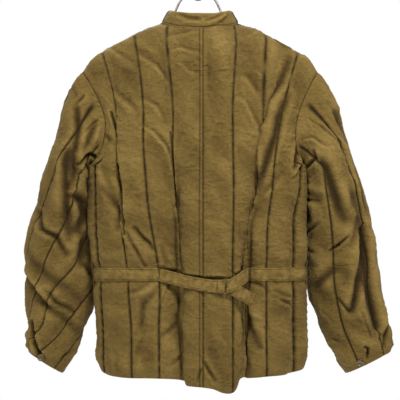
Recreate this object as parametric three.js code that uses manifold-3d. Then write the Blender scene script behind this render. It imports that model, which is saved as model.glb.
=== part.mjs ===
// A hip-length quilted work jacket with a stand collar and a buckled half-belt, hanging on a wire hanger.
// Millimetres, +Z up. The origin is the inside top of the hanger's hook, where a rail carries it.
// The back faces -Y, the front faces +Y, and the wearer's left arm is on the -X side.
//
// The cloth is worked out in its own sizes first: `c` is the distance across a panel from its centre seam,
// and `v` runs up it. Below the yoke v is the height above the hem line. Above it v runs on for `capRise`
// more, along a curve over the shoulder or up to the collar seam.
import * as THREE from "three";
import { mergeVertices } from "three/addons/utils/BufferGeometryUtils.js";
import Module from "manifold-3d";

// ---- driving dimensions ----
const pitch = 66; // between two lines of quilting
const sideSeam = 4.5 * pitch; // cloth from the centre seam to the side seam
const seamWall = 3.6; // wall along a stitched line
const puff = 9; // how far the wadding stands up between two lines
const seamGap = 0.3; // between two pieces that are sewn together
const hookHeight = 826; // origin above the hem line
const armpit = 418; // heights above the hem line
const yoke = 500;
const capRise = 100;
const shoulderCloth = 240; // cloth from the centre seam to the armhole
const neckHalf = 76; // half the neck's width
const neckCloth = 78; // cloth from the centre seam to the collar's side
const neckBack = { z: 684, y: -56 };
const neckFront = { z: 634, y: 60 };
const neckSideZ = 696;
const frontLap = 22; // each front passes the centre by this
const lapLift = 6; // the upper front lies this much further out
const band = { bottom: 188, top: 214, thick: 2.2, from: 2 * pitch, fromRight: 2 * pitch + 8 }; // tape stitched round the waist
const collarHeight = 33;

const lining = { color: 0x7a6638, roughness: 0.95, metalness: 0 };
const finishes = {
  cloth: lining,
  wire: { color: 0x77757a, roughness: 0.35, metalness: 0.9 },
  buckle: { color: 0x5f5233, roughness: 0.55, metalness: 0.6 },
  button: { color: 0x5b5234, roughness: 0.5, metalness: 0.5 },
};

// ---- the hang of the body: inner surface, by height above the hem ----
// left and right: X of the side seams. seam: X of the centre-back seam. side: Y of the side seams.
// back and front: how far the cloth stands behind and in front of the side seams.
const bodySections = [
  { z: -40, left: -195, right: 206, seam: 6, side: -8, back: 98, front: 86 },
  { z: 100, left: -197, right: 203, seam: 6, side: -8, back: 90, front: 80 },
  { z: 200, left: -204, right: 204, seam: 6, side: -10, back: 83, front: 74 },
  { z: 300, left: -212, right: 203, seam: 6, side: -12, back: 77, front: 76 },
  { z: 418, left: -213, right: 204, seam: 6, side: -12, back: 72, front: 74 },
  { z: 500, left: -214, right: 216, seam: 6, side: -8, back: 60, front: 62 },
];

// The ridge of the shoulders, by distance from the middle.
const shoulderRidge = [
  { x: 76, z: 696 },
  { x: 108, z: 685 },
  { x: 138, z: 669 },
  { x: 166, z: 654 },
  { x: 194, z: 638 },
  { x: 216, z: 622 },
  { x: 233, z: 600 },
];

// The back's hem by distance across the cloth, left side negative.
const backHem = [
  { c: -297, z: 12 },
  { c: -230, z: -2 },
  { c: -90, z: -5 },
  { c: -50, z: -14 },
  { c: 20, z: -22 },
  { c: 66, z: -28 },
  { c: 96, z: -16 },
  { c: 140, z: -3 },
  { c: 230, z: 3 },
  { c: 297, z: 14 },
];

// Folds that run down a panel. at: where across the cloth, at the top and at the foot. It grows from
// `from` to `full`, and fades from `fade` to `gone`. near and far: half-widths towards and away from the
// centre. pull: how much cloth it takes up. depth: how far it goes in.
const folds = {
  back: [
    { name: "left box fold", half: -1, at: [66, 66], from: 560, full: 190, fade: -200, gone: -300, near: 26, far: 40, pull: 38, depth: 30 },
    { name: "right box fold", half: 1, at: [118, 118], from: 540, full: 180, fade: -200, gone: -300, near: 33, far: 40, pull: 50, depth: 36 },
    { name: "right crown", half: 1, at: [46, 46], from: 420, full: 200, fade: -200, gone: -300, near: 26, far: 26, pull: 6, depth: 4 },
    { name: "left blade fold", half: -1, at: [200, 196], from: 620, full: 440, fade: 360, gone: 180, near: 18, far: 24, pull: 22, depth: 15 },
    { name: "right slanting fold", half: 1, at: [188, 138], from: 610, full: 470, fade: 430, gone: 230, near: 17, far: 20, pull: 22, depth: 19 },
    { name: "left skirt fold", half: -1, at: [165, 165], from: 170, full: 90, fade: -200, gone: -300, near: 26, far: 26, pull: 6, depth: 7 },
  ],
  front: [
    { name: "left front fold", half: -1, at: [178, 140], from: 560, full: 260, fade: -200, gone: -300, near: 26, far: 34, pull: 30, depth: 22 },
    { name: "right front fold", half: 1, at: [170, 150], from: 540, full: 240, fade: -200, gone: -300, near: 30, far: 30, pull: 30, depth: 20 },
    { name: "left front hem fold", half: -1, at: [88, 84], from: 260, full: 60, fade: -200, gone: -300, near: 22, far: 26, pull: 14, depth: 10 },
  ],
};

// The sleeves: the inner surface's outer and inner edge, and its depth, down to the cuff.
const sleeveSections = {
  left: [
    { name: "bicep", outerX: -284, outerZ: 456, innerX: -246, innerZ: 384, halfDepth: 66, y: 8 },
    { name: "upper arm", outerX: -315, outerZ: 352, innerX: -229, innerZ: 318, halfDepth: 63, y: 24 },
    { name: "elbow", outerX: -338, outerZ: 262, innerX: -226, innerZ: 245, halfDepth: 57, y: 36 },
    { name: "forearm", outerX: -340, outerZ: 175, innerX: -219, innerZ: 178, halfDepth: 53, y: 38 },
    { name: "lower arm", outerX: -338, outerZ: 105, innerX: -236, innerZ: 112, halfDepth: 48, y: 37 },
    { name: "wrist", outerX: -338, outerZ: 64, innerX: -257, innerZ: 56, halfDepth: 42, y: 34 },
    { name: "cuff", outerX: -339, outerZ: 42, innerX: -280, innerZ: 2, halfDepth: 37, y: 32 },
  ],
  right: [
    { name: "bicep", outerX: 285, outerZ: 456, innerX: 234, innerZ: 384, halfDepth: 66, y: 8 },
    { name: "upper arm", outerX: 321, outerZ: 352, innerX: 220, innerZ: 318, halfDepth: 63, y: 24 },
    { name: "elbow", outerX: 341, outerZ: 262, innerX: 219, innerZ: 245, halfDepth: 57, y: 36 },
    { name: "forearm", outerX: 352, outerZ: 180, innerX: 225, innerZ: 180, halfDepth: 53, y: 38 },
    { name: "lower arm", outerX: 367, outerZ: 108, innerX: 247, innerZ: 108, halfDepth: 48, y: 37 },
    { name: "wrist", outerX: 376, outerZ: 70, innerX: 274, innerZ: 52, halfDepth: 42, y: 34 },
    { name: "cuff", outerX: 380, outerZ: 44, innerX: 298, innerZ: 2, halfDepth: 37, y: 32 },
  ],
};

// Folds of the sleeves. u goes round from the shoulder over the back (0.25), the underarm (0.5) and the
// front (0.75). t goes down from 0 at the armhole to 1 at the cuff.
const sleeveFolds = {
  left: [
    { name: "elbow fold", u: [0.06, 0.36], t: [0.5, 0.66], width: 15, depth: 12 },
    { name: "forearm fold", u: [0.1, 0.4], t: [0.62, 0.8], width: 12, depth: 8 },
    { name: "upper fold", u: [0.22, 0.3], t: [0.16, 0.44], width: 12, depth: 9 },
    { name: "front elbow fold", u: [0.62, 0.9], t: [0.6, 0.5], width: 14, depth: 9 },
  ],
  right: [
    { name: "long back fold", u: [0.14, 0.15], t: [0.34, 0.78], width: 13, depth: 13 },
    { name: "upper fold", u: [0.3, 0.22], t: [0.18, 0.4], width: 12, depth: 9 },
    { name: "inner elbow fold", u: [0.28, 0.4], t: [0.55, 0.62], width: 12, depth: 7 },
    { name: "front elbow fold", u: [0.62, 0.88], t: [0.62, 0.52], width: 14, depth: 9 },
  ],
};

// How far round the arm the quilting has turned, as a share of its girth, on its way down to the cuff.
const sleeveTwist = {
  left: [
    { t: 0, turn: 0 },
    { t: 0.3, turn: 0 },
    { t: 0.45, turn: -0.06 },
    { t: 0.55, turn: -0.13 },
    { t: 0.65, turn: -0.2 },
    { t: 0.75, turn: -0.3 },
    { t: 0.9, turn: -0.45 },
    { t: 1, turn: -0.5 },
  ],
  right: [
    { t: 0, turn: 0 },
    { t: 0.4, turn: -0.02 },
    { t: 1, turn: -0.02 },
  ],
};

// ---- small numeric helpers ----
const clamp = (x, low = 0, high = 1) => Math.min(high, Math.max(low, x));
const mix = (a, b, t) => a + (b - a) * t;
const ease = (from, to, x) => {
  const t = clamp((x - from) / (to - from));
  return t * t * (3 - 2 * t);
};

// The integral of a rounded bump, -1 to 1.
const swell = (x) => Math.sign(x) * Math.sqrt(1 - Math.exp(-1.2 * x * x));

// Smooth interpolation down a named column of a table, by a key column that rises.
function read(table, key, name, at) {
  const last = table.length - 1;
  const i = clamp(table.findIndex((row) => row[key] > at) - 1, 0, last - 1);
  const k = at >= table[last][key] ? last - 1 : i;
  const slope = (a, b) => (table[b][name] - table[a][name]) / (table[b][key] - table[a][key]);
  const step = table[k + 1][key] - table[k][key];
  const t = clamp((at - table[k][key]) / step);
  const here = slope(k, k + 1);
  const before = k > 0 ? (slope(k - 1, k) + here) / 2 : here;
  const after = k + 2 <= last ? (slope(k + 1, k + 2) + here) / 2 : here;
  const rise = t * t * (3 - 2 * t);
  const curl = step * (before * t * (1 - t) * (1 - t) - after * t * t * (1 - t));
  return mix(table[k][name], table[k + 1][name], rise) + curl;
}

// A quarter of a rounded section, by share of its length: across runs 0 to 1, out runs 1 to 0.
const quarter = (() => {
  const steps = 200;
  const aspect = 0.33;
  const power = 2 / 2.25;
  const points = [];
  let length = 0;
  for (let i = 0; i <= steps; i++) {
    const angle = (i / steps) * (Math.PI / 2);
    const point = { across: Math.sin(angle) ** power, out: Math.cos(angle) ** power };
    if (i > 0) {
      const back = points[i - 1];
      length += Math.hypot(point.across - back.across, aspect * (point.out - back.out));
    }
    points.push({ ...point, length });
  }
  points[steps].out = 0;
  return (share) => {
    const wanted = Math.abs(share) * length;
    const i = clamp(points.findIndex((p) => p.length >= wanted), 1, steps);
    const [a, b] = [points[i - 1], points[i]];
    const t = clamp((wanted - a.length) / (b.length - a.length));
    return { across: Math.sign(share) * mix(a.across, b.across, t), out: mix(a.out, b.out, t) };
  };
})();

const vector = (x, y, z) => new THREE.Vector3(x, y, z);

// ---- the body's inner surface ----
function foldStrength(fold, z) {
  return ease(fold.from, fold.full, z) * (1 - ease(fold.fade, fold.gone, z));
}

// How much cloth the folds have taken up between the centre and c, and how deep they are there.
function foldsAt(face, half, c, z) {
  let pulled = 0;
  let whole = 0;
  let depth = 0;
  let pinch = 0;
  for (const fold of folds[face].filter((f) => f.half === half)) {
    const strength = foldStrength(fold, z);
    const at = mix(fold.at[0], fold.at[1], clamp((fold.from - z) / (fold.from - fold.full)));
    const off = c - at;
    const width = off < 0 ? fold.near : fold.far;
    const taken = (fold.near + width * swell(off / width)) / (fold.near + fold.far);
    pulled += fold.pull * strength * taken;
    whole += fold.pull * strength;
    const bump = strength * Math.exp(-((off / width) ** 2));
    depth += fold.depth * bump;
    pinch = Math.max(pinch, clamp(fold.depth / 26) * bump);
  }
  return { pulled, whole, depth, pinch };
}

// A point of a section below the yoke. face is "back" or "front", half is -1 for the left, 1 for the right.
function sectionPoint(face, half, c, v) {
  const row = (name) => read(bodySections, "z", name, v);
  const seam = face === "back" ? row("seam") : 0;
  const reach = half < 0 ? seam - row("left") : row("right") - seam;
  const { across, out } = quarter(c / sideSeam);
  const fold = foldsAt(face, half, Math.max(c, 0), v);
  const x = seam + half * ((reach + fold.whole) * across - fold.pulled);
  const deep = face === "back" ? -row("back") : row("front");
  const y = row("side") + deep * out - Math.sign(deep) * fold.depth;
  const hem = face === "back" ? read(backHem, "c", "z", half * c) : 0;
  return vector(x, y, v + hem * (1 - ease(0, 150, v)));
}

// Where a column of cloth ends: on the collar seam or on the shoulder's ridge, and the way it is heading.
function topOf(face, half, c) {
  const away = face === "back" ? -1 : 1;
  const neck = face === "back" ? neckBack : neckFront;
  if (c < neckCloth) {
    const x = (c / neckCloth) * neckHalf;
    const round = Math.sqrt(Math.max(0, 1 - (x / neckHalf) ** 2));
    const z = mix(neckSideZ, neck.z, round ** 1.5);
    const heading = vector(0, -away * mix(1, 0.75, round), (face === "back" ? 0.65 : 0.9) * Math.sqrt(round));
    return { point: vector(half * x, neck.y * round, z), heading };
  }
  const x = mix(neckHalf, shoulderRidge[6].x, (c - neckCloth) / (shoulderCloth - neckCloth));
  const z = read(shoulderRidge, "x", "z", x);
  return { point: vector(half * x, 0, z), heading: vector(0, -away, 0) };
}

// Any point of the body's inner surface.
function bodyPoint(face, half, c, v) {
  if (v <= yoke) return sectionPoint(face, half, c, v);
  const start = sectionPoint(face, half, c, yoke);
  const below = sectionPoint(face, half, c, yoke - 2);
  const top = topOf(face, half, c);
  const span = start.distanceTo(top.point);
  const leave = start.clone().sub(below).normalize().multiplyScalar(span * 1.05);
  const arrive = top.heading.clone().normalize().multiplyScalar(span * 0.75);
  const t = (v - yoke) / capRise;
  const [t2, t3] = [t * t, t * t * t];
  return start
    .multiplyScalar(2 * t3 - 3 * t2 + 1)
    .addScaledVector(leave, t3 - 2 * t2 + t)
    .addScaledVector(top.point, 3 * t2 - 2 * t3)
    .addScaledVector(arrive, t3 - t2);
}

// The unit normal of a surface that is given as a function of two numbers, pointing away from `inside`.
function normalOf(surface, a, b, inside) {
  const step = 0.5;
  const p = surface(a, b);
  const across = surface(a + step, b).sub(surface(a - step, b));
  const along = surface(a, b + step).sub(surface(a, b - step));
  const n = across.cross(along).normalize();
  return n.dot(p.clone().sub(inside(p))) < 0 ? n.negate() : n;
}

const bodyMiddle = (p) => vector(clamp(p.x, -120, 120), -8, Math.min(p.z - 20, 560));

function bodyNormal(face, half, c, v) {
  const at = clamp(v, -20, yoke + capRise - 0.5);
  const across = v > 560 && Math.abs(c - neckCloth) < 2 ? neckCloth + 2 : c;
  return normalOf((a, b) => bodyPoint(face, half, a, b), across, at, bodyMiddle);
}

// Where the armhole cuts a panel off, across the cloth.
function armholeAt(v) {
  if (v <= armpit) return sideSeam;
  if (v >= yoke) return shoulderCloth;
  const drop = (yoke - v) / (yoke - armpit);
  return sideSeam - (sideSeam - shoulderCloth) * Math.sqrt(1 - drop * drop);
}

// ---- grids ----
// Stations across one channel of quilting, and how far the wadding stands up at each.
const stations = [
  { share: 0, rise: 0 },
  { share: 0.14, rise: 0.7 },
  { share: 0.5, rise: 1 },
  { share: 0.86, rise: 0.7 },
];

// The first channel of a front is flat as far as the other front laps over it.
const lapStations = [
  { share: 0, rise: 0.1 },
  { share: 0.37, rise: 0.1 },
  { share: 0.62, rise: 1 },
  { share: 0.86, rise: 0.7 },
];

// The columns of a panel: three whole channels, then two that end at the side seam or the armhole.
// The second channel has a column where the collar's side meets the shoulder seam.
function panelColumns(isFront) {
  const columns = isFront ? [{ from: -frontLap, share: 0, rise: 0.1 }] : [];
  for (let k = 0; k < 3; k++) {
    for (const [i, s] of (isFront && k === 0 ? lapStations : stations).entries()) {
      const share = k === 1 && i === 1 ? neckCloth / pitch - 1 : s.share;
      columns.push({ from: k * pitch, share, rise: s.rise });
    }
  }
  stations.forEach((s) => columns.push({ from: 3 * pitch, tail: s.share * 0.667, rise: s.rise }));
  const last = [
    { tail: 0.667, rise: 0, fourth: true },
    { tail: 0.74, rise: 0.75 },
    { tail: 0.87, rise: 0.9 },
    { tail: 1, rise: 0, edge: true },
  ];
  last.forEach((s) => columns.push({ from: 3 * pitch, ...s }));
  return columns;
}

const panelRows = [0, 9, 60, 125, 182, 190, 212, 220, 275, 330, 380, 410, armpit, 428, 455, yoke, 533, 567, 600];
const lowestRow = panelRows[0];
const highestRow = panelRows[panelRows.length - 1];

// How much of the wadding shows: it is pressed flat at the edges, in the folds and by the tape or belt.
function loftAt(face, half, c, v) {
  const hem = mix(0.3, 1, ease(lowestRow, 24, v));
  const top = mix(0.25, 1, ease(highestRow, highestRow - 45, v));
  const flat = face === "back" ? mix(0.75, 0.25, ease(band.from - 45, band.from, c)) : 1;
  const apart = Math.max(ease(band.bottom - 3, band.bottom - 24, v), ease(band.top + 3, band.top + 24, v));
  const pinch = 1 - 0.85 * foldsAt(face, half, c, v).pinch;
  return hem * top * mix(flat, 1, apart) * pinch;
}

function clothAt(column, v, isFront = false) {
  const seamInset = seamGap / 2;
  if (column.tail === undefined) {
    const c = column.from + column.share * pitch;
    return c === 0 && !isFront ? seamInset : c;
  }
  const edge = armholeAt(v) - (v <= armpit ? seamInset : 0);
  return mix(column.from, edge, column.tail);
}

// One panel's inner and outer points, as rows of columns.
function panelGrids(face, half) {
  const isFront = face === "front";
  const columns = panelColumns(isFront);
  const isOver = isFront && half < 0;
  const inner = [];
  const outer = [];
  for (const v of panelRows) {
    const innerRow = [];
    const outerRow = [];
    for (const column of columns) {
      const c = clothAt(column, v, isFront);
      const n = bodyNormal(face, half, c, v);
      const p = bodyPoint(face, half, c, v);
      if (v === highestRow && c > neckCloth - 1) p.y += (isFront ? 1 : -1) * (seamGap / 2);
      if (isOver) p.addScaledVector(n, lapLift * (1 - ease(frontLap + 3, frontLap + 36, c)));
      const isLineGone = column.fourth && v > 433;
      const atArmhole = v > armpit ? ease(0, 30, armholeAt(v) - c) : 1;
      const rise = (isLineGone ? 0.8 : column.rise) * atArmhole;
      innerRow.push(p);
      outerRow.push(p.clone().addScaledVector(n, seamWall + puff * rise * loftAt(face, half, c, v)));
    }
    inner.push(innerRow);
    outer.push(outerRow);
  }
  return { inner, outer, columns };
}

// A closed wall between an outer grid and an inner grid that keeps every `coarse`-th column.
// A ring closes on itself round its columns.
function wallGeometry(outer, inner, { coarse = 1, ring = false } = {}) {
  const positions = [];
  const triangles = [];
  const rows = outer.length;
  const wide = outer[0].length;
  const add = (point) => positions.push(point.x, point.y, point.z) / 3 - 1;
  const out = outer.map((row) => row.map(add));
  const kept = inner.map((row) => row.map((p, j) => (j % coarse === 0 || (!ring && j === wide - 1) ? add(p) : -1)));
  const at = (grid, i, j) => grid[i][j % wide];
  const stops = [];
  for (let j = 0; j < wide; j += coarse) stops.push(j);
  if (ring) stops.push(wide);
  else if (stops[stops.length - 1] !== wide - 1) stops.push(wide - 1);
  const quad = (a, b, c, d) => triangles.push(a, b, c, a, c, d);
  const lastColumn = ring ? wide : wide - 1;
  for (let i = 0; i + 1 < rows; i++) {
    for (let j = 0; j < lastColumn; j++) quad(at(out, i, j), at(out, i, j + 1), at(out, i + 1, j + 1), at(out, i + 1, j));
    for (let s = 0; s + 1 < stops.length; s++) {
      const [a, b] = [stops[s], stops[s + 1]];
      quad(at(kept, i, a), at(kept, i + 1, a), at(kept, i + 1, b), at(kept, i, b));
    }
  }
  for (const [i, flip] of [[0, false], [rows - 1, true]]) {
    const put = (a, b, c) => (flip ? triangles.push(a, c, b) : triangles.push(a, b, c));
    for (let s = 0; s + 1 < stops.length; s++) {
      const [a, b] = [stops[s], stops[s + 1]];
      for (let j = a; j < b; j++) put(at(out, i, j + 1), at(out, i, j), at(kept, i, a));
      put(at(out, i, b), at(kept, i, a), at(kept, i, b));
    }
  }
  if (!ring) {
    for (let i = 0; i + 1 < rows; i++) {
      quad(out[i][0], out[i + 1][0], kept[i + 1][0], kept[i][0]);
      quad(out[i + 1][wide - 1], out[i][wide - 1], kept[i][wide - 1], kept[i + 1][wide - 1]);
    }
  }
  return facingOut(positions, triangles);
}

// A geometry whose faces point out, whichever way its grid was run.
function facingOut(positions, triangles) {
  const corner = (i) => vector(positions[3 * i], positions[3 * i + 1], positions[3 * i + 2]);
  let volume = 0;
  for (let i = 0; i < triangles.length; i += 3) {
    const [a, b, c] = [corner(triangles[i]), corner(triangles[i + 1]), corner(triangles[i + 2])];
    volume += a.dot(b.cross(c));
  }
  if (volume < 0) {
    for (let i = 0; i < triangles.length; i += 3) {
      [triangles[i + 1], triangles[i + 2]] = [triangles[i + 2], triangles[i + 1]];
    }
  }
  const geometry = new THREE.BufferGeometry();
  geometry.setAttribute("position", new THREE.Float32BufferAttribute(positions, 3));
  geometry.setIndex(triangles);
  geometry.computeVertexNormals();
  return geometry;
}

// ---- sleeves ----
const armholeKnots = [highestRow, 567, 533, yoke, 455, 428, armpit];
const roundColumns = 24; // columns round a sleeve: two for each row of the armhole
const sleeveStart = 0.22; // share of the sleeve that turns from the armhole to the first section

// The row of the body that a place on the armhole lies at, and its face. u: 0 shoulder, 0.5 armpit, 1 shoulder.
function armholePlace(u) {
  const turn = ((u % 1) + 1) % 1;
  const face = turn <= 0.5 ? "back" : "front";
  const down = (turn <= 0.5 ? turn : 1 - turn) * 12;
  const k = Math.min(5, Math.floor(down));
  return { face, v: mix(armholeKnots[k], armholeKnots[k + 1], down - k) };
}

// The unit direction in which a panel's cloth would run on past its armhole edge.
function pastArmhole(face, half, v) {
  const c = armholeAt(v);
  const n = bodyNormal(face, half, c, v);
  const above = Math.min(v + 1, highestRow);
  const below = Math.max(v - 1, armpit);
  const edge = bodyPoint(face, half, armholeAt(above), above).sub(bodyPoint(face, half, armholeAt(below), below));
  const past = edge.cross(n).normalize();
  const inward = bodyPoint(face, half, c - 6, Math.min(v, highestRow)).sub(bodyPoint(face, half, c, v));
  if (v <= armpit + 4) return past.z < 0 ? past.negate() : past;
  return past.dot(inward) > 0 ? past.negate() : past;
}

function sleeveRing(side, u, t) {
  const table = sleeveSections[side].map((row, i) => ({ ...row, i }));
  const at = t * (table.length - 1);
  const get = (name) => read(table, "i", name, at);
  const turn = 2 * Math.PI * u;
  const round = (x) => Math.sign(x) * Math.abs(x) ** 0.94;
  const middle = vector((get("outerX") + get("innerX")) / 2, get("y"), (get("outerZ") + get("innerZ")) / 2);
  const out = vector((get("outerX") - get("innerX")) / 2, 0, (get("outerZ") - get("innerZ")) / 2);
  return middle.addScaledVector(out, round(Math.cos(turn))).add(vector(0, -get("halfDepth") * round(Math.sin(turn)), 0));
}

// How far the creases of a sleeve go in at a place.
function sleeveCrease(side, u, t) {
  const girth = 400;
  const length = 560;
  let depth = 0;
  for (const fold of sleeveFolds[side]) {
    const along = vector((fold.u[1] - fold.u[0]) * girth, (fold.t[1] - fold.t[0]) * length, 0);
    const middle = (fold.u[0] + fold.u[1]) / 2;
    const nearU = u - Math.round(u - middle);
    const from = vector((nearU - fold.u[0]) * girth, (t - fold.t[0]) * length, 0);
    const share = clamp(from.dot(along) / along.lengthSq());
    const off = from.addScaledVector(along, -share).length();
    depth += fold.depth * Math.exp(-((off / fold.width) ** 2)) * (0.45 + 0.55 * Math.sin(Math.PI * share));
  }
  return depth;
}

// A point of a sleeve's inner surface.
function sleevePoint(side, u, t) {
  const half = side === "left" ? -1 : 1;
  if (t > sleeveStart) return sleeveRing(side, u, (t - sleeveStart) / (1 - sleeveStart));
  const { face, v } = armholePlace(u);
  const start = bodyPoint(face, half, armholeAt(v), v);
  const end = sleeveRing(side, u, 0);
  const next = sleeveRing(side, u, 0.04);
  const span = start.distanceTo(end);
  const under = ease(0.5, 1, 1 - Math.abs(Math.cos(Math.PI * u)));
  const leave = pastArmhole(face, half, v).multiplyScalar(Math.max(span, 60) * mix(0.7, 1, under));
  const arrive = next.sub(end).normalize().multiplyScalar(Math.max(span, 60) * mix(0.9, 1.1, under));
  const s = t / sleeveStart;
  const [s2, s3] = [s * s, s * s * s];
  return start
    .multiplyScalar(2 * s3 - 3 * s2 + 1)
    .addScaledVector(leave, s3 - 2 * s2 + s)
    .addScaledVector(end, 3 * s2 - 2 * s3)
    .addScaledVector(arrive, s3 - s2);
}

const sleeveRows = [0.03, 0.075, 0.12, 0.17, 0.22, 0.29, 0.36, 0.43, 0.5, 0.56, 0.62, 0.68, 0.75, 0.82, 0.89, 0.95, 0.985, 1];

// The sleeve's first ring is the armhole edge of the two panels, moved on by the seam gap.
function armholeRing(half, grids) {
  const edge = [];
  const place = (face, v) => {
    const i = panelRows.indexOf(v);
    const past = pastArmhole(face, half, v).multiplyScalar(seamGap * (v < 440 ? 2 : 1));
    const take = (grid) => grid[i][grid[i].length - 1].clone().add(past);
    return { inner: take(grids[face].inner), outer: take(grids[face].outer) };
  };
  armholeKnots.forEach((v) => edge.push(place("back", v)));
  armholeKnots.slice(1, -1).reverse().forEach((v) => edge.push(place("front", v)));
  const ring = { inner: [], outer: [] };
  edge.forEach((here, k) => {
    const next = edge[(k + 1) % edge.length];
    for (const grid of ["inner", "outer"]) {
      ring[grid].push(here[grid], here[grid].clone().lerp(next[grid], 0.5));
    }
  });
  return ring;
}

function sleeveGeometry(side, grids) {
  const half = side === "left" ? -1 : 1;
  const first = armholeRing(half, grids);
  const inner = [first.inner];
  const outer = [first.outer];
  const channels = roundColumns / stations.length;
  for (const t of sleeveRows) {
    const innerRow = [];
    const outerRow = [];
    const settled = ease(0, sleeveStart, t);
    for (let j = 0; j < roundColumns; j++) {
      const station = stations[j % stations.length];
      const even = j / roundColumns;
      const twist = read(sleeveTwist[side], "t", "turn", t) * ease(sleeveStart, sleeveStart + 0.1, t);
      const lined = (Math.floor(j / stations.length) + station.share) / channels + twist;
      const u = mix(even, lined, settled);
      const surface = (a, b) => sleevePoint(side, a / 100, b / 100);
      const axis = (p) => sleeveAxis(side, t, p);
      const n = normalOf(surface, u * 100, clamp(t * 100, 0.6, 99.4), axis);
      const p = sleevePoint(side, u, t).addScaledVector(n, -sleeveCrease(side, u, t));
      const round = u - Math.floor(u);
      const under = 1 - 0.75 * Math.exp(-(((round - 0.5) / 0.13) ** 2)) * (1 - ease(0.3, 0.75, t));
      const cuff = mix(0.35, 1, ease(1, 0.93, t));
      const rise = mix(0.8, station.rise, settled) * ease(-0.02, 0.13, t) * cuff * under;
      innerRow.push(p);
      outerRow.push(p.clone().addScaledVector(n, seamWall + puff * rise));
    }
    inner.push(innerRow);
    outer.push(outerRow);
  }
  return wallGeometry(outer, inner, { ring: true });
}

// A point inside the sleeve that a normal points away from.
function sleeveAxis(side, t) {
  const ring = [0, 0.25, 0.5, 0.75].map((u) => sleevePoint(side, u, t));
  return ring.reduce((sum, p) => sum.add(p), vector(0, 0, 0)).multiplyScalar(0.25);
}

// ---- collar ----
// It stands on the panels' neck edges, from the right front round the back to the left front.
function collarGeometry(grids) {
  const top = panelRows.length - 1;
  const neckEdge = (half, face) => {
    const { inner, outer, columns } = grids[half][face];
    const points = columns.map((column, j) => ({ c: clothAt(column, highestRow, face === "front"), j }));
    const last = face === "front" ? neckCloth - 1 : neckCloth + 1;
    return points.filter(({ c }) => c < last).map(({ c, j }) => ({ inner: inner[top][j], outer: outer[top][j], face, half, c }));
  };
  const edge = [
    ...neckEdge(1, "front"),
    ...neckEdge(1, "back").reverse(),
    ...neckEdge(-1, "back"),
    ...neckEdge(-1, "front").reverse(),
  ];
  const rows = [0, 0.12, 0.4, 0.7, 1];
  const inner = rows.map(() => []);
  const outer = rows.map(() => []);
  edge.forEach((here, k) => {
    const before = edge[Math.max(k - 1, 0)];
    const after = edge[Math.min(k + 1, edge.length - 1)];
    const along = after.inner.clone().sub(before.inner).normalize();
    const wall = here.outer.clone().sub(here.inner);
    const onward = along.clone().cross(wall).normalize();
    if (onward.dot(vector(0, 0, 900).sub(here.inner)) < 0) onward.negate();
    const level = along.clone().cross(vector(0, 0, 1)).setZ(0).normalize();
    if (level.dot(here.inner) < 0) level.negate();
    const away = here.face === "back" ? -1 : 1;
    const spread = clamp(here.c / neckCloth, -1, 1);
    const lean = vector(-here.half * 0.48 * spread, -away * 0.3 * (1 - Math.abs(spread)), 1).normalize();
    rows.forEach((share, i) => {
      const foot = here.inner.clone().addScaledVector(onward, mix(seamGap + 0.1, 1, ease(20, 50, here.c)));
      const base = foot.addScaledVector(lean, collarHeight * share).addScaledVector(onward, 2 * ease(0, 0.2, share));
      const thick = wall.clone().lerp(level.clone().multiplyScalar(3.2), ease(0, 0.35, share));
      inner[i].push(base);
      outer[i].push(base.clone().add(thick));
    });
  });
  return wallGeometry(outer, inner);
}

// ---- tape round the waist, laid on a back panel ----
function gridNormal(grid, i, j, half, first) {
  const clip = (row) => Math.min(Math.max(row, 0), grid.length - 1);
  const across = grid[i][Math.min(j + 1, grid[i].length - 1)].clone().sub(grid[i][Math.max(j - 1, first)]);
  const up = grid[clip(i + 1)][j].clone().sub(grid[clip(i - 1)][j]);
  return across.cross(up).multiplyScalar(half).normalize();
}

function waistTapeGeometry(half, grids) {
  const { outer, columns } = grids.back;
  const kept = panelRows.map((v, i) => i).filter((i) => panelRows[i] >= 188 && panelRows[i] <= 214);
  const start = half < 0 ? band.from : band.fromRight;
  const first = columns.findIndex((column) => clothAt(column, band.bottom) >= start - 0.1);
  const under = [];
  const over = [];
  for (const i of kept) {
    const underRow = [];
    const overRow = [];
    columns.forEach((column, j) => {
      if (j < first) return;
      const n = gridNormal(outer, i, j, half, first);
      underRow.push(outer[i][j].clone().addScaledVector(n, seamGap + 0.15));
      overRow.push(outer[i][j].clone().addScaledVector(n, seamGap + 0.15 + band.thick));
    });
    under.push(underRow);
    over.push(overRow);
  }
  return wallGeometry(over, under);
}

// ---- half-belt ----
// A flat strap along a list of places: {at: [x, y, z], lean} with lean the tilt of its width from upright.
function strapGeometry(places, width, thick) {
  const curve = new THREE.CatmullRomCurve3(places.map((p) => vector(...p.at)), false, "centripetal");
  const leans = places.map((p, i) => ({ i, lean: p.lean ?? 0 }));
  const steps = (places.length - 1) * 4;
  const front = [];
  const back = [];
  for (let k = 0; k <= steps; k++) {
    const t = k / steps;
    const point = curve.getPoint(t);
    const along = curve.getTangent(t);
    const lean = (read(leans, "i", "lean", t * (places.length - 1)) * Math.PI) / 180;
    const up = vector(Math.sin(lean), 0, Math.cos(lean)).addScaledVector(along, -along.dot(vector(Math.sin(lean), 0, Math.cos(lean))));
    up.normalize();
    const out = along.clone().cross(up).normalize();
    const rail = (side, face) => point.clone().addScaledVector(up, (side * width) / 2).addScaledVector(out, (face * thick) / 2);
    front.push([rail(-1, 1), rail(1, 1)]);
    back.push([rail(-1, -1), rail(1, -1)]);
  }
  return wallGeometry(front, back);
}

const belt = { width: 24, thick: 2 };
const buckle = { x: 50.2, y: -108.5, z: 179, wide: 12.8, tall: 30, bar: 1.2, thick: 1.6 };

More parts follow.
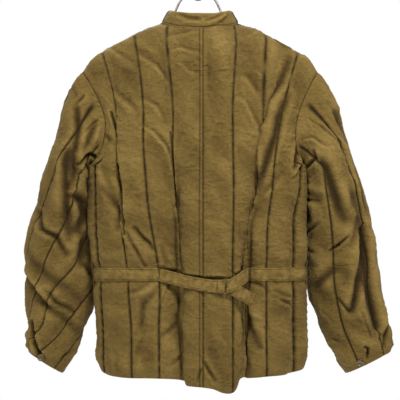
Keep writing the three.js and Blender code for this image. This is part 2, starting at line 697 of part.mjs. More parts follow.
// The left strap sags across the back's middle and turns back round the buckle's left side.
const leftStrap = [
  { at: [-78.3, -91.5, 201], lean: 2 },
  { at: [-58, -97.5, 196.5], lean: 3 },
  { at: [-34, -103.5, 190], lean: 6 },
  { at: [0, -107.5, 183.5], lean: 3 },
  { at: [28, -110, 179.7], lean: 0 },
  { at: [43.6, -111.3, 179], lean: 0 },
  { at: [47.4, -108.5, 179], lean: 0 },
  { at: [43.6, -105.7, 179], lean: 0 },
  { at: [33, -106, 179.3], lean: 0 },
];

// The right strap comes down to the buckle, turns back round its right side and hangs out under itself.
const rightStrap = [
  { at: [94.6, -67.2, 203], lean: 2 },
  { at: [92, -86, 201], lean: -4 },
  { at: [84, -98, 196], lean: -12 },
  { at: [72, -107, 188], lean: -10 },
  { at: [64, -110.8, 183], lean: -4 },
  { at: [57, -111.6, 180], lean: 0 },
  { at: [52.9, -108.5, 178.8], lean: 0 },
  { at: [57, -105.4, 178], lean: 3 },
  { at: [70, -105, 171], lean: 24 },
  { at: [86, -104, 162], lean: 31 },
  { at: [101, -101, 153], lean: 31 },
];

// ---- buttons ----
function buttonGeometry(radius, thick) {
  const profile = [
    [0, 0],
    [radius * 0.92, 0],
    [radius, thick * 0.4],
    [radius * 0.94, thick],
    [radius * 0.72, thick],
    [radius * 0.62, thick * 0.6],
    [0, thick * 0.6],
  ];
  return new THREE.LatheGeometry(profile.map(([x, y]) => new THREE.Vector2(x, y)), 18);
}

// ---- hanger ----
const wire = 2.3; // radius
const arch = { top: 753, halfTop: 31, foot: 714, halfFoot: 50 };
const hangerX = -4; // the hanger hangs a little to the left of the neck's middle

function tube(points, radius, steps, sides = 8) {
  const curve = new THREE.CatmullRomCurve3(points.map((p) => vector(...p)), false, "centripetal");
  const section = new THREE.Shape();
  for (let k = 0; k < sides; k++) {
    const turn = (2 * Math.PI * (k + 0.5)) / sides;
    const [x, y] = [radius * Math.cos(turn), radius * Math.sin(turn)];
    if (k === 0) section.moveTo(x, y);
    else section.lineTo(x, y);
  }
  section.closePath();
  return new THREE.ExtrudeGeometry(section, { steps, bevelEnabled: false, extrudePath: curve });
}

function hangerFrameGeometry() {
  const arm = [];
  const underRidge = (x) => read(shoulderRidge, "x", "z", x) - wire - 2;
  arm.push([arch.halfTop - 6, 0, arch.top], [arch.halfTop + 2, 0, arch.top - 4]);
  arm.push([(arch.halfTop + arch.halfFoot) / 2 + 2, 0, 732], [arch.halfFoot, 0, arch.foot], [arch.halfFoot + 12, 0, 697]);
  [88, 112, 140, 170, 195].forEach((x) => arm.push([x, 0, underRidge(x + 4)]));
  const mirrored = arm.map(([x, y, z]) => [-x, y, z]).reverse();
  return tube([...mirrored, [0, 0, arch.top], ...arm], wire, 64).translate(hangerX, 0, 0);
}

const hook = { radius: 22, shank: arch.top + 14 };

function hookPoints() {
  const centre = hookHeight - (hook.radius - wire);
  const points = [[0, 0, arch.top + 6], [0, 0, hook.shank], [-4, 0, hook.shank + 12]];
  for (let k = 0; k <= 12; k++) {
    const turn = ((215 - k * 19) * Math.PI) / 180;
    points.push([hook.radius * Math.cos(turn), 0, centre + hook.radius * Math.sin(turn)]);
  }
  return points;
}

const wasm = await Module();
wasm.setup();

function toSolid(geometry) {
  const plain = geometry.clone();
  ["normal", "uv"].forEach((name) => plain.deleteAttribute(name));
  const merged = mergeVertices(plain, 1e-4);
  return new wasm.Manifold(
    new wasm.Mesh({
      numProp: 3,
      vertProperties: new Float32Array(merged.attributes.position.array),
      triVerts: new Uint32Array(merged.index.array),
    }),
  );
}

function fromSolid(solid) {
  const mesh = solid.getMesh();
  return facingOut(Array.from(mesh.vertProperties), Array.from(mesh.triVerts));
}

// A plain rectangular loop.
function buckleGeometry() {
  const { wide, tall, bar, thick } = buckle;
  const plate = toSolid(new THREE.BoxGeometry(wide, thick, tall));
  return fromSolid(plate.subtract(toSolid(new THREE.BoxGeometry(wide - 2 * bar, thick * 3, tall - 2 * bar))));
}

// The hook is one piece with the ferrule that grips the top of the frame.
function hangerHookGeometry() {
  const hookWire = tube(hookPoints(), wire, 52);
  const ferrule = new THREE.CylinderGeometry(6, 6, 17, 16).rotateX(Math.PI / 2).translate(0, 0, arch.top + 2);
  const bore = new THREE.CylinderGeometry(wire + 0.35, wire + 0.35, 40, 16).rotateZ(Math.PI / 2).translate(0, 0, arch.top);
  return fromSolid(toSolid(ferrule).add(toSolid(hookWire)).subtract(toSolid(bore))).translate(hangerX, 0, 0);
}

// ---- the jacket ----
const jacket = new THREE.Group();
const garment = new THREE.Group();
garment.position.set(-hangerX, 0, -hookHeight);
jacket.add(garment);

function addMesh(name, geometry, finish = "cloth") {
  const mesh = new THREE.Mesh(geometry, new THREE.MeshStandardMaterial(finishes[finish]));
  mesh.name = name;
  garment.add(mesh);
  return mesh;
}

const sides = [
  { name: "left", half: -1 },
  { name: "right", half: 1 },
];

const grids = {};
for (const { name, half } of sides) {
  grids[half] = { back: panelGrids("back", half), front: panelGrids("front", half) };
  for (const face of ["back", "front"]) {
    addMesh(`${face}_${name}`, wallGeometry(grids[half][face].outer, grids[half][face].inner));
  }
  addMesh(`sleeve_${name}`, sleeveGeometry(name, grids[half]));
  addMesh(`waist_tape_${name}`, waistTapeGeometry(half, grids[half]));
}
addMesh("collar", collarGeometry(grids));

addMesh("belt_left", strapGeometry(leftStrap, belt.width, belt.thick));
addMesh("belt_right", strapGeometry(rightStrap, belt.width, belt.thick));

const buckleMesh = addMesh("buckle", buckleGeometry(), "buckle");
buckleMesh.position.set(buckle.x, buckle.y, buckle.z);

// A button lies on the outer surface of the cloth at a place, its face turned outwards.
function addButton(name, point, normal, radius) {
  const mesh = addMesh(name, buttonGeometry(radius, 3), "button");
  mesh.quaternion.setFromUnitVectors(vector(0, 1, 0), normal);
  mesh.position.copy(point).addScaledVector(normal, seamGap);
}

const frontButtons = [575, 470, 365, 260, 110];
const overFront = grids[-1].front;
frontButtons.forEach((v, k) => {
  const i = panelRows.findIndex((row) => row > v);
  const middle = overFront.columns.findIndex((column) => column.from === 0);
  const share = (v - panelRows[i - 1]) / (panelRows[i] - panelRows[i - 1]);
  const p = overFront.outer[i - 1][middle].clone().lerp(overFront.outer[i][middle], share);
  const across = overFront.outer[i][middle + 1].clone().sub(overFront.outer[i][middle - 1]);
  const up = overFront.outer[i][middle].clone().sub(overFront.outer[i - 1][middle]);
  const n = up.cross(across).normalize();
  addButton(`button_${k + 1}`, p, n.y < 0 ? n.negate() : n, 10);
});

const cuffButtons = [
  { name: "cuff_button_left", side: "left", u: 0.215, t: 0.972 },
  { name: "cuff_button_right", side: "right", u: 0.3, t: 0.972 },
];
for (const { name, side, u, t } of cuffButtons) {
  const surface = (a, b) => sleevePoint(side, a / 100, b / 100);
  const n = normalOf(surface, u * 100, t * 100, () => sleeveAxis(side, t));
  addButton(name, sleevePoint(side, u, t).addScaledVector(n, seamWall + puff * 0.55 + 1), n, 7.5);
}

addMesh("hanger_frame", hangerFrameGeometry(), "wire");
addMesh("hanger_hook", hangerHookGeometry(), "wire");

export default jacket;
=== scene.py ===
import math

import bpy
import numpy as np
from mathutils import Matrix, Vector


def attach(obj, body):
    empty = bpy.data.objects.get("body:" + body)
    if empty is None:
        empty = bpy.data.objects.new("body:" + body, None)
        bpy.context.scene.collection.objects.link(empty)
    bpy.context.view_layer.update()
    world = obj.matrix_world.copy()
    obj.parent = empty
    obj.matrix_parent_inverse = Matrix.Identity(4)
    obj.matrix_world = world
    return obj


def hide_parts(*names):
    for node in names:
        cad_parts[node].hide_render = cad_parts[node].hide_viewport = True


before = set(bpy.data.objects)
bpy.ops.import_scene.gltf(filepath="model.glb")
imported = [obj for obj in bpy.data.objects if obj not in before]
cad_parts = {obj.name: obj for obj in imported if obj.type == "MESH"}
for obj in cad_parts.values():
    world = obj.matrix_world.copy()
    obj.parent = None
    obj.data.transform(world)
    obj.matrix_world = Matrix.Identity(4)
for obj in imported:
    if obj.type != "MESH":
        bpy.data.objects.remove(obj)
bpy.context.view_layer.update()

# Cloth sizes are millimetres on the jacket, with z above the hem line. The back faces -Y.
# c runs across a panel from its centre seam. v runs up it: height below the yoke, then 100 more to the top.
hookHeight = 826
hangerShift = 4


def toRow(points):
    return (np.asarray(points, float) + (hangerShift, 0, -hookHeight)) / 1000


def table(names, *rows):
    return {name: np.array(column, float) for name, column in zip(names.split(), zip(*rows))}


def clip01(x):
    return np.clip(x, 0, 1)


def mix(a, b, t):
    return a + (b - a) * t


def ease(start, end, x):
    t = clip01((np.asarray(x, float) - start) / (end - start))
    return t * t * (3 - 2 * t)


def dot(a, b):
    return (a * b).sum(-1, keepdims=True)


def unit(a):
    return a / np.maximum(np.linalg.norm(a, axis=-1, keepdims=True), 1e-9)


def stack(x, y, z):
    return np.stack(np.broadcast_arrays(x, y, z), -1).astype(float)


def bell(off, width):
    return np.exp(-((off / width) ** 2))


# The distance along a line of points up to each of them.
def runAlong(line):
    return np.concatenate([[0], np.cumsum(np.linalg.norm(np.diff(line, axis=0), axis=1))])


# A smooth curve through a table's column, by a key column that rises.
def read(rows, key, name, at):
    keys, values = rows[key], rows[name]
    at = np.asarray(at, float)
    slope = np.diff(values) / np.diff(keys)
    tangent = np.concatenate([slope[:1], (slope[:-1] + slope[1:]) / 2, slope[-1:]])
    k = np.clip(np.searchsorted(keys, at, side="right") - 1, 0, len(keys) - 2)
    step = keys[k + 1] - keys[k]
    t = clip01((at - keys[k]) / step)
    curl = step * (tangent[k] * t * (1 - t) ** 2 - tangent[k + 1] * t * t * (1 - t))
    return mix(values[k], values[k + 1], t * t * (3 - 2 * t)) + curl


# A quarter of a rounded section by share of its length.
def quarterTable(aspect=0.33, power=2 / 2.25, steps=200):
    angle = np.linspace(0, math.pi / 2, steps + 1)
    across = np.sin(angle) ** power
    out = np.clip(np.cos(angle), 0, 1) ** power
    out[-1] = 0
    length = np.concatenate([[0], np.cumsum(np.hypot(np.diff(across), aspect * np.diff(out)))])
    return length / length[-1], across, out


quarterShare, quarterAcross, quarterOut = quarterTable()

body = {
    "pitch": 66,
    "sideSeam": 297,
    "wall": 3.6,
    "puff": 9,
    "seamGap": 0.3,
    "armpit": 418,
    "yoke": 500,
    "capRise": 100,
    "shoulderCloth": 240,
    "neckHalf": 76,
    "neckCloth": 78,
    "neckSideZ": 696,
    "frontLap": 22,
    "lapLift": 6,
    "tapeBottom": 188,
    "tapeTop": 214,
    "tapeFrom": {-1: 132, 1: 140},
}
pitch, wall, puff, seamGap = body["pitch"], body["wall"], body["puff"], body["seamGap"]
armpit, yoke, topRow = body["armpit"], body["yoke"], body["yoke"] + body["capRise"]
sideSeam, shoulderCloth, frontLap = body["sideSeam"], body["shoulderCloth"], body["frontLap"]
neckHalf, neckCloth = body["neckHalf"], body["neckCloth"]
tapeBottom, tapeTop = body["tapeBottom"], body["tapeTop"]
neckPlace = {"back": {"z": 684, "y": -56}, "front": {"z": 634, "y": 60}}

bodySections = table(
    "z left right seam side back front",
    (-40, -195, 206, 6, -8, 98, 86),
    (100, -197, 203, 6, -8, 90, 80),
    (200, -204, 204, 6, -10, 83, 74),
    (300, -212, 203, 6, -12, 77, 76),
    (418, -213, 204, 6, -12, 72, 74),
    (500, -214, 216, 6, -8, 60, 62),
)

shoulderRidge = table(
    "x z", (76, 696), (108, 685), (138, 669), (166, 654), (194, 638), (216, 622), (233, 600)
)

hems = {
    "back": table(
        "c z", (-297, 22), (-284, 12), (-264, 4), (-230, -1), (-90, -5), (-50, -14), (20, -22), (44, -30),
        (68, -29), (80, -20), (94, -6), (140, -3), (230, 3), (264, 7), (284, 13), (297, 21)
    ),
    "front": table(
        "c z", (-297, 22), (-284, 14), (-262, 5), (-230, 0), (230, 0), (262, 5), (284, 13), (297, 21)
    ),
}

# Folds that run down a panel: where across it, the heights they grow and fade between, and their size.
foldNames = "half atTop atFoot start full fade gone near far pull depth".split()
folds = {
    "back": [
        (-1, 66, 66, 560, 190, -200, -300, 26, 40, 38, 30),
        (1, 118, 118, 540, 180, -200, -300, 33, 40, 50, 36),
        (1, 46, 46, 420, 200, -200, -300, 26, 26, 6, 4),
        (-1, 200, 196, 620, 440, 360, 180, 18, 24, 22, 15),
        (1, 188, 138, 610, 470, 430, 230, 17, 20, 22, 19),
        (-1, 165, 165, 170, 90, -200, -300, 26, 26, 6, 7),
    ],
    "front": [
        (-1, 178, 140, 560, 260, -200, -300, 26, 34, 30, 22),
        (1, 170, 150, 540, 240, -200, -300, 30, 30, 30, 20),
        (-1, 88, 84, 260, 60, -200, -300, 22, 26, 14, 10),
    ],
}
folds = {face: [dict(zip(foldNames, row)) for row in rows] for face, rows in folds.items()}


def foldsAt(face, half, c, z):
    pulled, whole, depth, pinch = (np.zeros(np.broadcast(c, z).shape) for _ in range(4))
    for fold in folds[face]:
        if fold["half"] != half:
            continue
        strength = ease(fold["start"], fold["full"], z) * (1 - ease(fold["fade"], fold["gone"], z))
        grown = clip01((fold["start"] - z) / (fold["start"] - fold["full"]))
        off = c - mix(fold["atTop"], fold["atFoot"], grown)
        width = np.where(off < 0, fold["near"], fold["far"])
        swell = np.sign(off) * np.sqrt(1 - np.exp(-1.2 * (off / width) ** 2))
        taken = (fold["near"] + width * swell) / (fold["near"] + fold["far"])
        bump = strength * bell(off, width)
        pulled = pulled + fold["pull"] * strength * taken
        whole = whole + fold["pull"] * strength
        depth = depth + fold["depth"] * bump
        pinch = np.maximum(pinch, min(fold["depth"] / 26, 1) * bump)
    return pulled, whole, depth, pinch


# Where the back's cloth has crept sideways: its column, width and distance, and the heights it starts and is
# full at.
drift = {
    -1: [(66, 26, 10, 420, 320), (64, 26, 3, 220, 150)],
    1: [(98, 24, -9, 300, 200), (196, 26, -10, 400, 280), (254, 20, -15, 380, 300)],
}


def sectionPoint(face, half, c, v):
    row = {name: read(bodySections, "z", name, v) for name in bodySections}
    seam = row["seam"] if face == "back" else 0
    reach = seam - row["left"] if half < 0 else row["right"] - seam
    share = c / sideSeam
    across = np.sign(share) * np.interp(np.abs(share), quarterShare, quarterAcross)
    out = np.interp(np.abs(share), quarterShare, quarterOut)
    pulled, whole, depth, _ = foldsAt(face, half, np.maximum(c, 0), v)
    deep = -row["back"] if face == "back" else row["front"]
    hem = read(hems[face], "c", "z", half * c)
    x = seam + half * ((reach + whole) * across - pulled)
    if face == "back":
        for column, wide, push, start, full in drift[half]:
            x = x + push * bell(c - column, wide) * ease(start, full, v)
    y = row["side"] + deep * out - np.sign(deep) * depth
    return stack(x, y, v + hem * (1 - ease(0, 150, v)))


# Where a column of cloth ends, on the collar seam or the shoulder's ridge, and its heading there.
def topOf(face, half, c):
    away = -1 if face == "back" else 1
    neck = neckPlace[face]
    neckX = c / neckCloth * neckHalf
    roundness = np.sqrt(np.clip(1 - (neckX / neckHalf) ** 2, 0, None))
    neckZ = mix(body["neckSideZ"], neck["z"], roundness**1.5)
    rise = (0.65 if face == "back" else 0.9) * np.sqrt(roundness)
    share = (c - neckCloth) / (shoulderCloth - neckCloth)
    ridgeX = mix(neckHalf, shoulderRidge["x"][-1], share)
    ridgeZ = read(shoulderRidge, "x", "z", ridgeX)
    isNeck = (c < neckCloth)[..., None]
    seamShift = 6 * (1 - clip01(c / neckCloth) ** 2) if face == "back" else 0
    point = np.where(
        isNeck,
        stack(half * neckX + seamShift, neck["y"] * roundness, neckZ),
        stack(half * ridgeX, 0 * c, ridgeZ),
    )
    heading = np.where(
        isNeck, stack(0 * c, -away * mix(1, 0.75, roundness), rise), stack(0 * c, -away + 0 * c, 0 * c)
    )
    return point, unit(heading)


def hermite(start, leave, end, arrive, t):
    t = t[..., None]
    t2, t3 = t * t, t * t * t
    leaving = start * (2 * t3 - 3 * t2 + 1) + leave * (t3 - 2 * t2 + t)
    return leaving + end * (3 * t2 - 2 * t3) + arrive * (t3 - t2)


# Any point of the body's inner surface.
def bodyPoint(face, half, c, v):
    c, v = np.broadcast_arrays(np.asarray(c, float), np.asarray(v, float))
    low = sectionPoint(face, half, c, np.minimum(v, yoke))
    below = sectionPoint(face, half, c, np.full(c.shape, yoke - 2.0))
    start = sectionPoint(face, half, c, np.full(c.shape, float(yoke)))
    end, heading = topOf(face, half, c)
    span = np.linalg.norm(end - start, axis=-1, keepdims=True)
    t = clip01((v - yoke) / (topRow - yoke))
    cap = hermite(start, unit(start - below) * span * 1.05, end, heading * span * 0.75, t)
    return np.where((v <= yoke)[..., None], low, cap)


def normalOf(surface, a, b, inside, step=0.5):
    point = surface(a, b)
    across = surface(a + step, b) - surface(a - step, b)
    along = surface(a, b + step) - surface(a, b - step)
    normal = unit(np.cross(across, along))
    return np.where(dot(normal, point - inside(point)) < 0, -normal, normal)


# A place well inside the body, level with each point or a little below it.
core = {"reach": 120, "y": -8, "below": 20, "top": 560}


def bodyMiddle(p):
    x = np.clip(p[..., 0], -core["reach"], core["reach"])
    return stack(x, core["y"], np.minimum(p[..., 2] - core["below"], core["top"]))


def bodyNormal(face, half, c, v):
    c, v = np.broadcast_arrays(np.asarray(c, float), np.asarray(v, float))
    nearNeck = (v > 560) & (np.abs(c - neckCloth) < 2)
    across = np.where(nearNeck, neckCloth + 2, c)
    up = np.clip(v, -20, topRow - 0.5)
    return normalOf(lambda a, b: bodyPoint(face, half, a, b), across, up, bodyMiddle)


def armholeAt(v):
    drop = clip01((yoke - np.asarray(v, float)) / (yoke - armpit))
    curve = sideSeam - (sideSeam - shoulderCloth) * np.sqrt(1 - drop * drop)
    return np.where(v <= armpit, sideSeam, np.where(v >= yoke, shoulderCloth, curve))


# Fields of soft random waves, used for crumples. Each is a fixed sum of sines, so it never changes.
def waves(a, b, seed, longest, shortest, count=18, slant=0, spread=math.pi):
    draw = np.random.default_rng(seed)
    total = np.zeros(np.broadcast(a, b).shape)
    for _ in range(count):
        size = shortest * (longest / shortest) ** draw.random()
        turn = slant + (draw.random() - 0.5) * spread
        shift = draw.random() * 2 * math.pi
        total = total + np.sin(2 * math.pi * (a * math.cos(turn) + b * math.sin(turn)) / size + shift)
    return total / math.sqrt(count / 2)


# Soft ridges between smooth hollows, -1 to 1.
def ridges(field):
    return 1 - 2 * np.sqrt(np.abs(np.tanh(field)) + 0.02)


# A crease is a height, a width and a path. Above 0 it is a ridge with a hollow on the left of its path, or on
# the right if its width is below 0. A height below 0 makes a valley with raised sides.
def creaseHeight(a, b, creases, scale=(1, 1), wrap=None):
    height = np.zeros(np.broadcast(a, b).shape)
    for rise, width, *path in creases:
        side = math.copysign(1, width)
        rise, width = rise * creaseGain["height"], abs(width) * creaseGain["width"]
        nearest = np.full(height.shape, 1e9)
        where = np.zeros(height.shape)
        along = np.zeros(height.shape)
        points = np.array(path, float)
        lengths = np.hypot(*((points[1:] - points[:-1]) * scale).T)
        run = 0
        for start, end, length in zip(points[:-1], points[1:], lengths):
            da, db = (a - start[0]), (b - start[1]) * scale[1]
            if wrap:
                da = (da + wrap / 2) % wrap - wrap / 2
            da = da * scale[0]
            step = (end - start) * scale
            t = clip01((da * step[0] + db * step[1]) / length**2)
            offA, offB = da - t * step[0], db - t * step[1]
            off = np.hypot(offA, offB)
            closer = off < nearest
            nearest = np.where(closer, off, nearest)
            where = np.where(closer, np.sign(step[0] * offB - step[1] * offA), where)
            along = np.where(closer, (run + t * length) / lengths.sum(), along)
            run += length
        off = nearest * where * side
        fade = 0.3 + 0.7 * np.sqrt(np.sin(math.pi * clip01(along * 0.94 + 0.03)))
        if rise > 0:
            beside = 0.8 * bell(off - 1.4 * width, 0.8 * width)
        else:
            beside = 0.35 * bell(nearest - 2 * width, width)
        height = height + rise * fade * (bell(off, width) - beside)
    return height


creaseGain = {"height": 1.5, "width": 0.85}

# Creases of the back, seen from behind: height, width, then places (x, z).
backCreases = [
    (2.2, 7, (-181, 640), (-131, 611)),
    (1.8, -6, (-120, 650), (-84, 636)),
    (3, 6, (-119, 628), (-86, 608), (-63, 577)),
    (1.5, 5, (-84, 604), (-65, 593)),
    (2.4, 7, (-169, 559), (-140, 530), (-129, 516)),
    (2.6, 6, (-112, 541), (-88, 528), (-75, 504)),
    (3, 6, (-112, 487), (-94, 476), (-70, 448), (-61, 424), (-57, 401)),
    (1.2, 3, (-79, 456), (-65, 442)),
    (1.2, -6, (-164, 619), (-131, 601)),
    (2.2, 5, (-51, 639), (-35, 643), (-2, 633)),
    (1.8, 6, (-58, 663), (-14, 674)),
    (1.6, 5, (-42, 622), (-25, 601), (-6, 593)),
    (1, 4, (-14, 558), (0, 554)),
    (1.5, 4, (43, 656), (69, 654)),
    (1.5, -2.5, (56, 629), (67, 617)),
    (1.2, -2.5, (57, 621), (66, 607)),
    (1.5, -4, (74, 618), (94, 628)),
    (1.4, 4, (74, 670), (91, 667), (116, 678)),
    (1.8, 4, (111, 601), (125, 587)),
    (2.4, 8, (74, 588), (88, 583), (116, 544)),
    (2.2, 6, (74, 546), (85, 538), (97, 516), (106, 494), (106, 469)),
    (0.8, 4, (28, 490), (57, 476)),
    (1, 4, (18, 452), (31, 445)),
    (1, 4, (43, 427), (64, 416)),
    (1.4, 5, (129, 356), (144, 375)),
    (2, 8, (130, 354), (158, 389)),
    (1.6, -5, (175, 473), (202, 471)),
    (-6, 5, (203, 467), (192, 452), (186, 429), (182, 410)),
    (3, 4, (202, 462), (194, 429), (179, 397)),
    (-2, 4, (-189, 480), (-174, 459)),
    (-1.5, 7, (-186, 418), (-154, 373)),
    (-2.5, 7, (-189, 413), (-155, 323)),
    (-3, 6, (-186, 369), (-159, 326), (-162, 289)),
    (-1, 6, (-37, 480), (-44, 452)),
    (-1.5, 8, (-35, 375), (-42, 333)),
    (-1.2, 3, (-9, 347), (5, 341)),
    (-4, 4, (-126, 294), (-110, 274), (-98, 263), (-91, 250)),
    (-3, 4, (-138, 284), (-126, 258), (-113, 231), (-106, 218)),
    (-2, 5, (-78, 256), (-67, 220)),
    (-1.2, 4, (-192, 238), (-178, 224)),
    (2, -8, (-88, 183), (-106, 166), (-136, 156)),
    (-2.5, 8, (-84, 172), (-109, 144), (-114, 88)),
    (-3, 4, (-63, 182), (-62, 174)),
    (1.5, 3, (-70, 176), (-78, 154), (-82, 138)),
    (1.2, 6, (-108, 99), (-126, 61), (-135, 38)),
    (-2, 6, (-49, 122), (-49, 104), (-77, 81)),
    (-1.5, 5, (-39, 41), (-62, 23)),
    (1.5, 5, (-164, 40), (-164, 5)),
    (-2.5, 4, (109, 186), (129, 174), (133, 166)),
    (-1.5, 3, (137, 191), (151, 183)),
    (-2, 4, (143, 172), (179, 149)),
    (1.5, 5, (139, 153), (179, 132)),
    (-2, 4, (158, 151), (178, 134)),
    (1.5, -7, (102, 132), (114, 118), (130, 102)),
    (-3, 6, (93, 137), (105, 93), (117, 58)),
    (-4, 4, (8, 30), (19, 10), (28, -5)),
    (-2.5, 3, (4, 21), (-1, 7), (-5, -8)),
    (-0.8, 3, (36, 86), (56, 70)),
    (1, 3, (190, 82), (184, 68)),
    (-2, 4, (81, 228), (74, 208)),
    (5, -6, (-46, 330), (-41, 298), (-40, 210), (-36, 160), (-37, 122), (-34, 76), (-33, 46), (-31, -8)),
    (5, 6, (104, 330), (99, 298), (96, 256), (92, 218), (91, 144), (90, 97), (87, 75), (84, 39), (83, -4)),
    (-4, 7, (177, 628), (156, 574), (136, 539), (130, 501)),
    (-5, 8, (170, 551), (153, 508), (146, 473), (136, 445), (126, 410), (116, 382), (112, 361)),
    (-3, 6, (-172, 520), (-164, 478), (-158, 420), (-152, 370), (-148, 310)),
    (-4, 3.5, (-80, 214), (-42, 205), (-20, 198), (10, 194), (60, 193)),
    (-4, 3.5, (88, 221), (78, 209), (66, 199)),
    (-5, 2.5, (-58, 480), (-54, 440), (-50, 400), (-47, 340), (-42, 300), (-40, 216)),
    (-5, 2.5, (-176, 520), (-166, 478), (-158, 440), (-152, 400), (-147, 340), (-143, 280)),
    (-5, 2.5, (117, 470), (116, 420), (114, 382), (108, 340), (100, 300), (96, 250)),
    (1.2, 3, (184, 524), (206, 524)),
    (1.2, 3, (174, 478), (204, 472)),
]


# How much a valley shades its own cloth, 0 to 1.
def deepCrease(height):
    return 0.75 * clip01((-height - 0.8) / 6)


# Cloth that stands out is painted lighter and cloth that lies low darker: partly rubbed wear, partly painted
# light on ridges and painted shade in hollows.
def wearAndShadeBy(relief):
    return clip01(0.5 + 0.1 * relief)


# Creases of the front, by the same (x, z).
frontCreases = [
    (2.2, 7, (-150, 620), (-110, 590), (-80, 540)),
    (1.8, -7, (150, 620), (110, 590), (84, 545)),
    (2, 8, (-170, 430), (-110, 400), (-60, 380)),
    (1.8, -8, (176, 430), (120, 405), (70, 392)),
    (-2.2, 6, (-150, 330), (-120, 250), (-112, 180)),
    (-2.2, 6, (160, 320), (140, 240), (130, 170)),
    (1.4, 6, (-60, 240), (-20, 222)),
    (1.4, 6, (30, 160), (70, 148)),
    (-1.6, 6, (60, 480), (90, 440)),
    (1.6, 7, (-60, 120), (-100, 60)),
]
creasesOf = {"back": backCreases, "front": frontCreases}

quilting = {
    "shape": 2.8,  # higher is flatter between two lines
    "pucker": 0.7,
    "puckerReach": 7,
    "lumps": 1.3,
    "crumple": 1.2,
    # The next two are widths of the darker band painted along stitched lines and the centre seam: dirt and
    # painted shade.
    "grooveDirtAndShade": 2.7,
    "seamGroove": 1.2,
    "lapStitchAt": 6.8,
    "lapStitch": 1.1,
    "thinnest": 1.2,
    "tailSplit": 2 / 3,  # the fourth channel's share of what is left past the third
}
nearShares = np.array([0, 0.7, 1.8, 3.2, 4.8, 6.8, 9.2, 12, 15, 18, 21, 24, 27, 30, 33]) / pitch
shares = np.concatenate([nearShares, 1 - nearShares[-2:0:-1]])


def channelRise(share):
    return np.sqrt(clip01(1 - np.abs(2 * share - 1) ** quilting["shape"]))


# Ripples that run off a stitched line, different on its two sides.
def puckerOf(along, line, isNearSide, seed, fromLine):
    warp = waves(along, line * 97 + isNearSide * 31, seed + 9, 26, 9, count=10, slant=0, spread=0.3)
    return quilting["pucker"] * warp * np.exp(-fromLine / quilting["puckerReach"]) * clip01(fromLine / 2)


# The columns of a panel: fixed ones by c, then those that follow the side seam and the armhole by tail.
def panelColumns(isFront):
    fixed = np.concatenate([(k + shares) * pitch for k in range(3)])
    lap = [-frontLap, -frontLap + 1.5, -17, -12, -6] if isFront else []
    split = quilting["tailSplit"]
    tail = np.concatenate([shares * split, split + shares[::2] * (1 - split), [0.985, 1]])
    return np.concatenate([lap, fixed]), tail


panelRows = np.unique(
    np.concatenate(
        [
            [0, 1, 2.5, 5, 8, 11],
            np.arange(14, armpit, 2.5),
            armpit + np.array([0, 0.6, 1.6, 3.2, 5.6, 9]),
            np.arange(armpit + 12, yoke, 2.5),
            np.arange(yoke, topRow, 1.6),
            [topRow - 0.8, topRow],
        ]
    ).round(3)
)


def tapeFlat(half, c, v):
    near = ease(body["tapeFrom"][half] - 45, body["tapeFrom"][half], c)
    below = ease(tapeBottom - 1, tapeBottom - 22, v)
    above = ease(tapeTop + 1, tapeTop + 22, v)
    return mix(mix(0.75, 0.25, near), 1, np.maximum(below, above))


